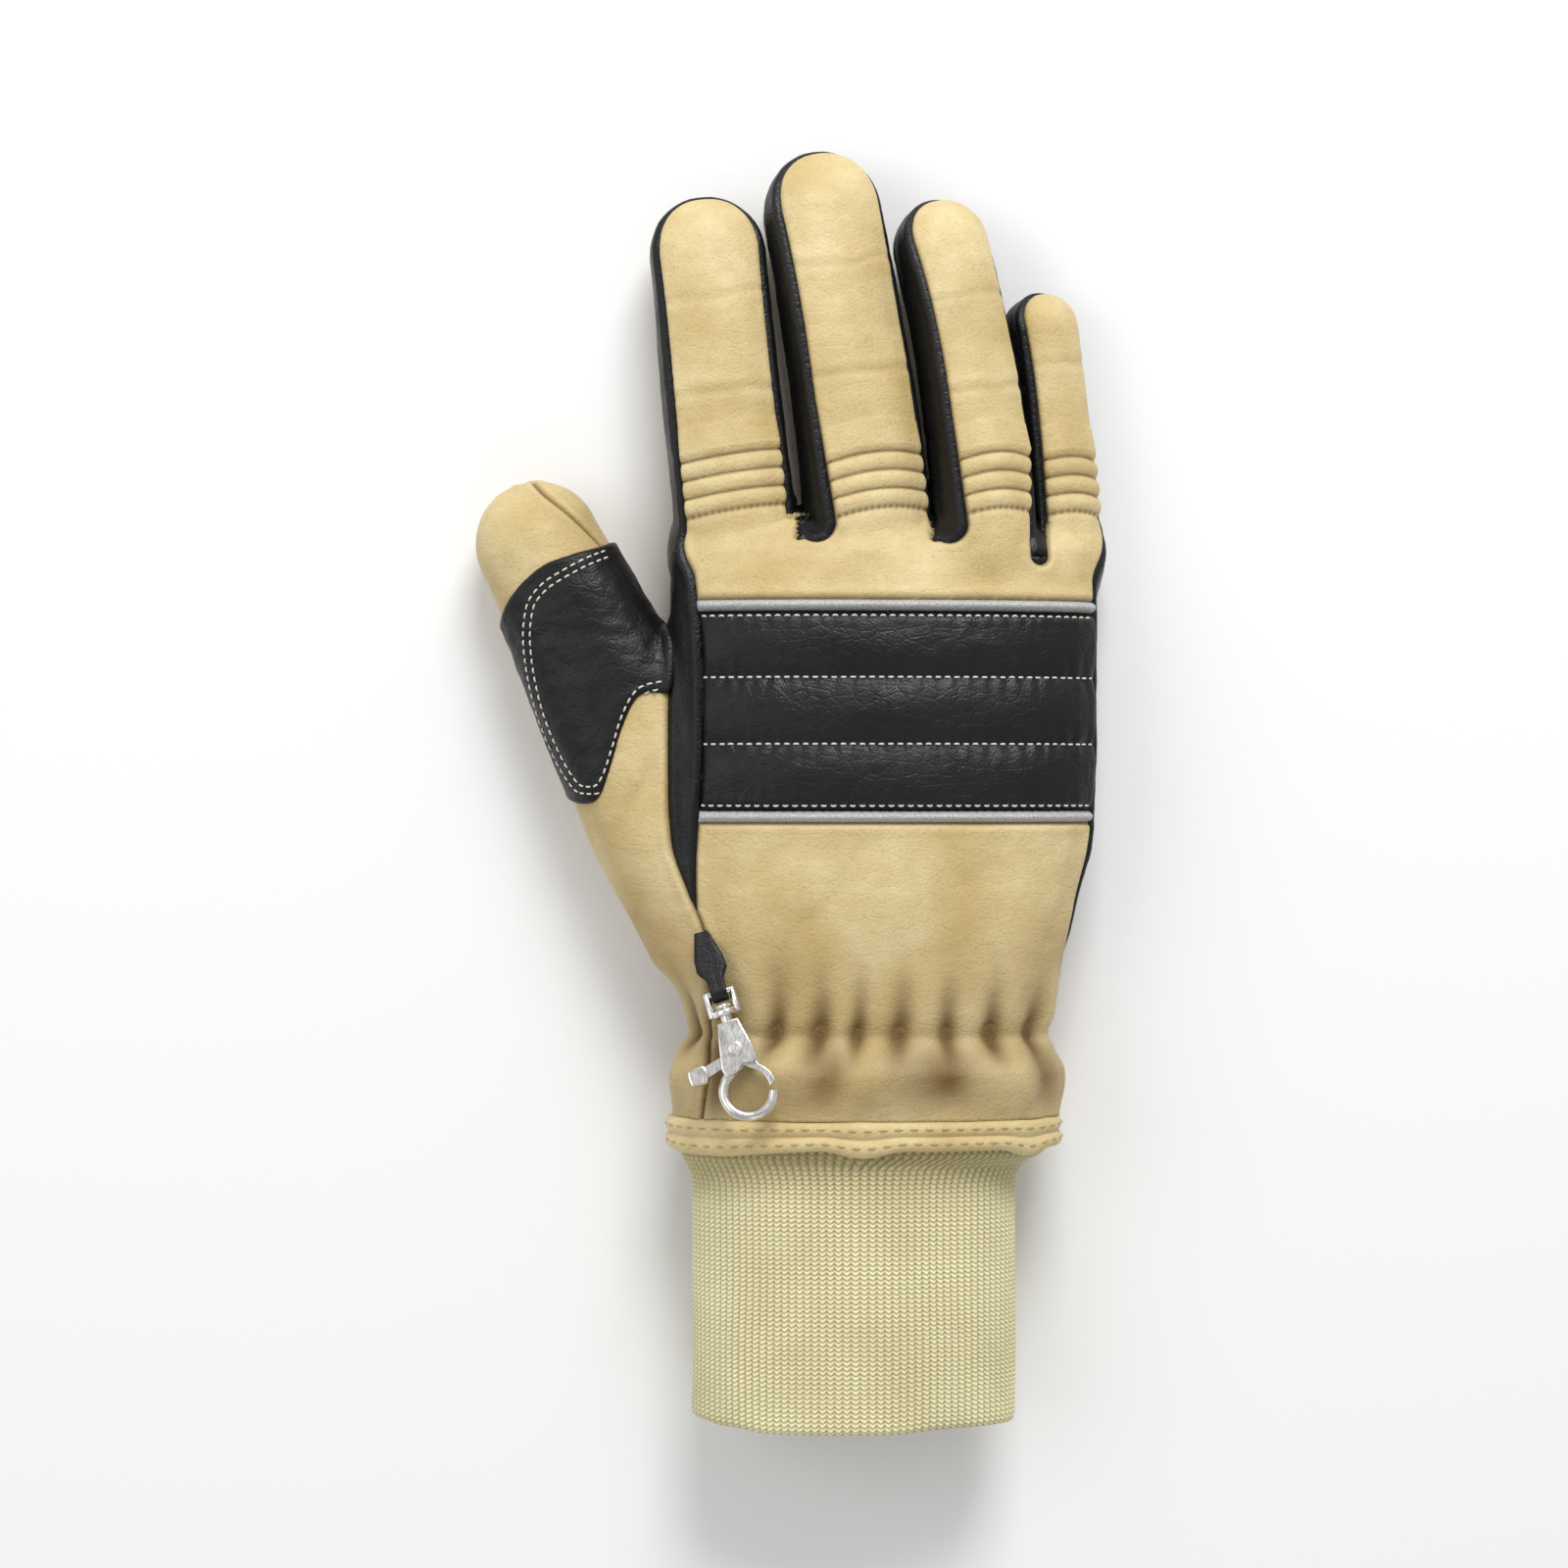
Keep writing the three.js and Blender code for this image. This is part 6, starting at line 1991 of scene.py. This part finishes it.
        return dress(thing, self.finishes.knit.material(), ROOT, "cream_knit", "knit_cuff")

    def hem(self, tan: bpy.types.Material) -> None:
        """Makes the rolled hem and its stitching."""
        count, steps = ((520, 34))
        share = np.arange(count) / count
        angle = self.even_turn(share)
        turn = 2 * np.pi * share
        drift = self.noise(np.stack([share * 260.0, 0 * share, 0 * share], axis=1), 23.0)
        lobe = np.cos(self.hem_waves * turn + 2.0 * drift)
        shake = self.noise(np.stack([share * 260.0, 0 * share + 9.0, 0 * share], axis=1), 6.0)
        rings = []
        profile = np.linspace(0.0, 1.0, steps)
        for t in profile:
            bulge = 1.15 * abs(math.sin(2.0 * math.pi * t)) ** 0.65
            roll = 0.15 + bulge + 0.5 * lobe * (0.35 + 0.65 * t) + 0.18 * shake
            if t < 0.04:
                roll = roll - 0.5
            y = -0.3 - t * (self.hem_length - 1.8) - self.hem_wave * (0.5 - 0.5 * lobe) * t
            ring = self.hand_ring(angle, roll)
            rings.append(np.column_stack([ring[:, 0], np.full(count, 1.0) * y, np.maximum(ring[:, 1], 0.04)]))
        outer = np.array(rings)
        for t in (1.0, 0.5, 0.0):
            y = -0.35 - t * (self.hem_length - 2.1) - self.hem_wave * (0.5 - 0.5 * lobe) * t
            ring = self.hand_ring(angle, np.full(count, -2.5))
            rings.append(np.column_stack([ring[:, 0], np.full(count, 1.0) * y, ring[:, 1]]))
        solid = Solid()
        solid.loft(np.array(rings), closed=True)
        thing = solid.object("wrist_hem_roll", self.form.to_frame, 70.0)
        dress(thing, tan, ROOT, "tan_leather", "wrist_hem")
        thread = Stitching(length=2.6, gap=1.5, radius=0.22)
        for t in (0.25, 0.75):
            row = outer[int(t * (steps - 1))]
            out = np.column_stack([np.cos(angle), np.zeros(count), np.sin(angle) * 1.6])
            thread.row(np.concatenate([row, row[:1]]), np.concatenate([out, out[:1]]))
        thread.object("hem_stitches", self.form, self.finishes.hem_thread.material())

    def patch(self, black: bpy.types.Material) -> None:
        """Makes the black patch under the cuff and its stitching."""
        outline = np.array(self.patch_rows) * np.array([55.0, -66.0]) + np.array([-41.08, -10.6])
        outline = rounded_outline(outline, 6)
        outline[:, 1] = np.minimum(outline[:, 1], -10.7)
        cell = 0.75
        low, high = outline.min(axis=0) - 1.0, outline.max(axis=0) + 1.0
        turns = np.linspace(-np.pi, 0.0, int(110.0 / cell))
        ys = np.linspace(high[1], low[1], int((high[1] - low[1]) / cell))
        angle, y = np.meshgrid(self.even_turn((turns + np.pi) / (2 * np.pi)), ys)
        base = self.knit_ring(angle, y, np.zeros_like(y)).reshape(-1, 3)
        rows, width = angle.shape
        i, j = np.meshgrid(np.arange(rows - 1), np.arange(width - 1), indexing="ij")
        a = (i * width + j).ravel()
        halves = ([a, a + width, a + width + 1], [a, a + width + 1, a + 1])
        tris = np.concatenate([np.stack(half, axis=1) for half in halves])
        skin = Skin(base, tris)
        skin.cut(lambda p: outline_distance(outline, p), [0], 1)
        tris = skin.tris[skin.label == 1]
        verts = skin.verts
        inside = np.clip(outline_distance(outline, verts), 0.0, None)
        normal = np.column_stack([(verts[:, 0] + 7.7) * 0.25, 0 * inside, verts[:, 2] - 23.7])
        normal /= np.linalg.norm(normal, axis=1)[:, None]
        tilt = np.stack([verts[:, 0] + verts[:, 1], (verts[:, 1] - verts[:, 0]) * 2.2, verts[:, 2]], axis=1)
        folds = 0.3 * self.noise.rough(tilt, 12.0, 3)
        edge = np.sqrt(np.clip(1.0 - (1.0 - np.clip(inside / 1.2, 0.0, 1.0)) ** 2, 0.0, 1.0))
        height = 0.3 + (self.patch_thick - 0.15) * edge + folds * smooth_step(0.0, 3.0, inside)
        outer = verts + normal * height[:, None]
        outer[:, 2] = np.maximum(outer[:, 2], 0.05)
        inner = verts + normal * 0.1
        # painted shade along the patch's edge
        thing = skin_object("pulse_patch_leather", self.form.to_frame, outer, inner, tris, 0.5 * bell(inside, 0.6))
        dress(thing, black, ROOT, "black_leather", "pulse_patch")
        surface = Surface(outer, tris, np.ones(len(tris), dtype=int))
        thread = Stitching(length=1.2, gap=0.75, radius=0.26)
        ahead = np.roll(outline, -1, axis=0) - np.roll(outline, 1, axis=0)
        inward = np.stack([-ahead[:, 1], ahead[:, 0]], axis=1)
        inward /= np.maximum(np.linalg.norm(inward, axis=1), 1e-9)[:, None]
        if (inward * (outline.mean(axis=0) - outline)).sum() < 0.0:
            inward = -inward
        line = outline + inward * 2.3
        line = line[line[:, 1] < -14.0]
        thread.over(surface, line, False, [], 0.4)
        thread.object("pulse_patch_stitches", self.form, self.finishes.thread.material())


@dataclass
class Label:
    """Blank woven tab in the outer side seam. Sizes in millimetres."""

    form: GloveForm
    finishes: Finishes
    start: float = 0.31
    length: float = 42.0
    width: float = 11.0
    thick: float = 0.9
    seam_angle: float = -25.7

    def build(self) -> None:
        """Makes the tab."""
        down = np.array([0.36, 0.0, -0.93])
        down /= np.linalg.norm(down)
        out = np.array([0.93, 0.0, 0.36])
        rings = []
        for t in np.linspace(0.0, 1.0, 40):
            y = self.start * self.form.body_length + t * self.length
            share = np.array([y / self.form.body_length])
            middle, half, top, bottom, tilt = (float(curve(share)[0]) for curve in self.form.hand)
            half = half * self.form.palm_width
            tall = (top - bottom) * self.form.palm_depth / 2.0
            angle = math.radians(self.seam_angle)
            u = math.cos(angle) ** (2.0 / 3.1) * (half + 0.5)
            v = -abs(math.sin(angle)) ** (2.0 / 3.1) * (tall + 0.5)
            turn = math.radians(tilt)
            x = middle * self.form.palm_width + u * math.cos(turn) + v * math.sin(turn)
            z = (top + bottom) * self.form.palm_depth / 2.0 + v * math.cos(turn) - u * math.sin(turn)
            start = np.array([x, y, z]) - down * 1.0
            reach = min(self.width, (z - 1.2) / 0.93) + 1.0
            ring = []
            for along in np.linspace(0.0, 1.0, 14):
                curl = 0.35 * math.sin(along * 2.6) + 0.2 * math.sin(t * 9.0) * along
                ring.append(start + down * along * reach + out * curl)
            for along in np.linspace(1.0, 0.0, 14):
                curl = 0.35 * math.sin(along * 2.6) + 0.2 * math.sin(t * 9.0) * along
                ring.append(start + down * along * reach + out * (curl + self.thick))
            rings.append(ring)
        solid = Solid()
        solid.loft(np.array(rings))
        thing = solid.object("side_tab", self.form.to_frame, 50.0)
        dress(thing, self.finishes.tape.material(), ROOT, "black_tape", "side_label")


@dataclass
class SwivelHook:
    """Snap hook on its leather strap, in the hook's own axes: along, across and up. Sizes in millimetres."""

    form: GloveForm
    finishes: Finishes
    place: tuple[float, float, float] = (-0.361, 0.175, 45.2)
    along: tuple[float, float, float] = (0.29046, -0.92123, 0.25882)
    across: tuple[float, float, float] = (0.9537, 0.3007, 0.0)
    up: tuple[float, float, float] = (-0.07783, 0.24684, 0.96593)
    thick: float = 4.4
    reach: float = 20.3
    ring: float = 6.6
    wire: float = 1.35
    pivot: float = 8.9
    gate: float = 1.7
    lever: float = 12.0
    eye_bar: float = -7.2
    eye_half: float = 3.5
    eye_wire: float = 0.9
    strap_width: float = 8.2
    strap_thick: float = 1.5
    strap_end: float = -24.2
    plate_rows: tuple[tuple[float, float], ...] = (
        (1.2, -2.8), (8.9, -4.4), (13.2, -5.1), (15.5, -4.6), (15.3, -1.6), (13.2, 0.6), (13.6, 3.4), (12.6, 4.9),
        (8.9, 4.4), (1.2, 2.8),
    )

    def to_frame(self, points: Array) -> Array:
        """Takes points in the hook's axes to metres of the frame."""
        origin = np.array([self.place[0] * self.form.palm_width, self.place[1] * self.form.body_length, self.place[2]])
        axes = np.array([self.along, self.across, self.up])
        return self.form.to_frame(origin + np.asarray(points) @ axes)

    def arc(self, low: float, high: float, radius: float, count: int) -> Array:
        """Gives plan points on a circle round the ring's middle."""
        angle = np.radians(np.linspace(low, high, count))
        return np.stack([self.reach + radius * np.cos(angle), radius * np.sin(angle)], axis=1)

    def build(self) -> None:
        """Makes eye, hook, gate and rivet."""
        metal = self.finishes.nickel.material()
        eye = Solid()
        bar, half, wire = self.eye_bar, self.eye_half, self.eye_wire
        eye.rod((bar, -half - 0.45, 0), (bar, half + 0.45, 0), wire)
        for side in (-half, half):
            eye.rod((bar - 0.45, side, 0), (-0.9, side, 0), wire)
        eye.rod((-2.1, 0, 0), (-0.5, 0, 0), 3.2, 0.4)
        dress(eye.object("swivel_eye", self.to_frame), metal, ROOT, "nickel", "hook_eye")
        body = Solid()
        cheek = np.array(self.plate_rows)
        flat = self.thick / 2.0
        for low, high in ((-flat, -1.15), (1.15, flat)):
            body.plate(cheek, low, high)
        body.plate(np.array([(1.2, -2.8), (5.8, -3.7), (5.8, 3.7), (1.2, 2.8)]), -flat + 0.3, flat - 0.3, 0.1)
        nose = np.array([(13.1, -5.0), (15.4, -4.5), (15.2, -1.7), (14.4, -0.4), (13.1, -1.2)])
        body.plate(nose, -flat + 0.3, flat - 0.3, 0.1)
        ring = self.arc(-158.0, 76.0, self.ring, 90)
        body.tube(np.column_stack([ring, np.zeros(90)]), self.wire)
        body.rod((-3.1, 0, 0), (1.5, 0, 0), 1.5)
        body.rod((-3.8, 0, 0), (-2.4, 0, 0), 2.1, 0.5)
        dress(body.object("snap_hook", self.to_frame), metal, "hook", "nickel", "hook_body")
        gate = Solid()
        hub = np.radians(np.array([130.0, 150.0, 175.0, 200.0]))
        outline = np.concatenate([
            self.arc(93.0, 142.0, self.ring + self.gate / 2, 16),
            np.stack([self.pivot + 2.5 * np.cos(hub), 2.5 * np.sin(hub)], axis=1),
            [(9.6, -4.4), (11.2, -self.lever + 1), (14.4, -self.lever + 1), (12.6, -4.4), (11.5, -1.6)],
            self.arc(144.0, 85.0, self.ring - self.gate / 2, 16),
        ])
        gate.plate(outline, -self.gate / 2, self.gate / 2, 0.15)
        paddle = rounded_outline(np.array([
            (10.6, -self.lever + 2.6), (10.6, -self.lever - 1.2), (11.6, -self.lever - 2.0), (13.9, -self.lever - 2.0),
            (14.9, -self.lever - 1.2), (14.9, -self.lever + 2.6),
        ]), 5)
        gate.plate(paddle, -1.36, 1.36, 0.5)
        dress(gate.object("hook_gate_lever", self.to_frame), metal, "gate", "nickel", "hook_gate")
        rivet = Solid()
        rivet.rod((self.pivot, 0, -flat - 0.9), (self.pivot, 0, flat + 0.9), 1.1)
        for low, high in ((-flat - 1.0, -flat - 0.1), (flat + 0.1, flat + 1.0)):
            rivet.rod((self.pivot, 0, low), (self.pivot, 0, high), 1.87, 0.45)
        dress(rivet.object("gate_rivet_pin", self.to_frame), metal, "hook", "nickel", "gate_rivet")

    def strap(self, black: bpy.types.Material) -> None:
        """Makes the folded leather strap that holds the eye."""
        middle = self.eye_wire + 0.3 + self.strap_thick / 2.0
        turn = np.radians(np.linspace(112.0, -112.0, 24))
        wrap = np.stack([self.eye_bar + middle * np.cos(turn), middle * np.sin(turn)], axis=1)
        count = 26
        share = np.linspace(0.0, 1.0, count)
        start = np.array([self.strap_end, -0.9])
        over = np.stack([start[0] + (wrap[0, 0] - start[0]) * share, 0 * share], axis=1)
        over[:, 1] = start[1] + (0.95 - start[1]) * share ** 0.7
        over[:, 1] += (wrap[0, 1] - 0.95) * smooth_step(0.72, 1.0, share)
        under = np.stack([wrap[-1, 0] + (self.strap_end - wrap[-1, 0]) * share, 0 * share], axis=1)
        under[:, 1] = wrap[-1, 1] + (-0.85 - wrap[-1, 1]) * smooth_step(0.0, 0.28, share) - 2.1 * share ** 1.5
        path = np.concatenate([over[:-1], wrap, under[1:]])
        ahead = np.gradient(path, axis=0)
        ahead /= np.linalg.norm(ahead, axis=1)[:, None]
        normal = np.stack([-ahead[:, 1], ahead[:, 0]], axis=1)
        bar_end = self.eye_bar - 2.7 * 1.4
        wide = np.interp(path[:, 0], [self.strap_end, self.strap_end + 7.0, bar_end - 2.7, bar_end], [
            self.strap_width * 0.45, self.strap_width * 0.95, self.strap_width, self.strap_width * 0.55])
        rings = []
        thick = self.strap_thick / 2.0
        turn = np.linspace(0.0, 2 * np.pi, 28, endpoint=False)
        for point, out, width in zip(path, normal, wide):
            across = np.sign(np.cos(turn)) * np.abs(np.cos(turn)) ** 0.35 * width / 2.0
            high = np.sign(np.sin(turn)) * np.abs(np.sin(turn)) ** 0.6 * thick * (1.0 - 0.4 * bell(across - 0.6, 0.7))
            rings.append(np.column_stack([point[0] + out[0] * high, across, point[1] + out[1] * high]))
        solid = Solid()
        solid.loft(np.array(rings))
        thing = solid.object("hook_strap", self.to_frame, 60.0)
        dress(thing, black, ROOT, "black_leather", "strap_loop")


@dataclass
class Studio:
    """Pale floor, soft lights and the camera over the glove. Sizes in metres."""

    height: float = 0.97
    lens: float = 80.7
    floor: float = 4.0
    sunk: float = 0.0004

    def light(self, name: str, place: tuple[float, float, float], size: float, power: float) -> None:
        """Hangs a soft lamp that points at the glove."""
        lamp = bpy.data.lights.new(name, "AREA")
        lamp.size = size
        lamp.energy = power
        thing = bpy.data.objects.new(name, lamp)
        thing.location = place
        thing.rotation_euler = (Vector((0.0, 0.0, 0.0)) - Vector(place)).to_track_quat("-Z", "Y").to_euler()
        bpy.context.scene.collection.objects.link(thing)

    def build(self) -> None:
        """Sets up the whole studio."""
        mesh = bpy.data.meshes.new("floor")
        half = self.floor / 2.0
        corners = [(x * half, y * half, -self.sunk) for x, y in ((-1, -1), (1, -1), (1, 1), (-1, 1))]
        mesh.from_pydata(corners, [], [(0, 1, 2, 3)])
        ground = bpy.data.objects.new("floor", mesh)
        bpy.context.scene.collection.objects.link(ground)
        shader = Shader("studio_floor")
        shader.surface.inputs["Base Color"].default_value = (0.86, 0.86, 0.86, 1.0)
        shader.surface.inputs["Roughness"].default_value = 0.9
        mesh.materials.append(shader.material)
        world = bpy.data.worlds.new("studio")
        bpy.context.scene.world = world
        world.use_nodes = True
        world.node_tree.nodes["Background"].inputs[0].default_value = (1.0, 1.0, 1.0, 1.0)
        world.node_tree.nodes["Background"].inputs[1].default_value = 0.5
        self.light("key", (0.25, 1.25, 1.0), 0.7, 22.0)
        self.light("fill", (-1.1, 0.2, 1.1), 1.0, 5.0)
        self.light("front", (0.4, -1.3, 1.1), 0.9, 2.5)
        camera = bpy.data.cameras.new("camera")
        camera.lens = self.lens
        camera.sensor_width = 36.0
        camera.clip_start = 0.05
        eye = bpy.data.objects.new("camera", camera)
        eye.location = (0.0, 0.0, self.height)
        bpy.context.scene.collection.objects.link(eye)
        bpy.context.scene.camera = eye
        bpy.context.scene.view_settings.view_transform = "Standard"


def main() -> None:
    """Builds the glove piece by piece."""
    logging.basicConfig(level=logging.INFO, format="%(message)s")
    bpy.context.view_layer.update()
    Studio().build()
    form = GloveForm()
    finishes = Finishes()
    shell = LeatherShell(form, finishes)
    shell.shape()
    shell.build()
    ThumbPatch(shell).build()
    Needlework(shell).build()
    cuff = Cuff(form, finishes)
    cuff.knit()
    cuff.hem(shell.tan)
    cuff.patch(shell.black)
    Label(form, finishes).build()
    hook = SwivelHook(form, finishes)
    hook.build()
    hook.strap(shell.black)


if __name__ == "__main__":
    main()
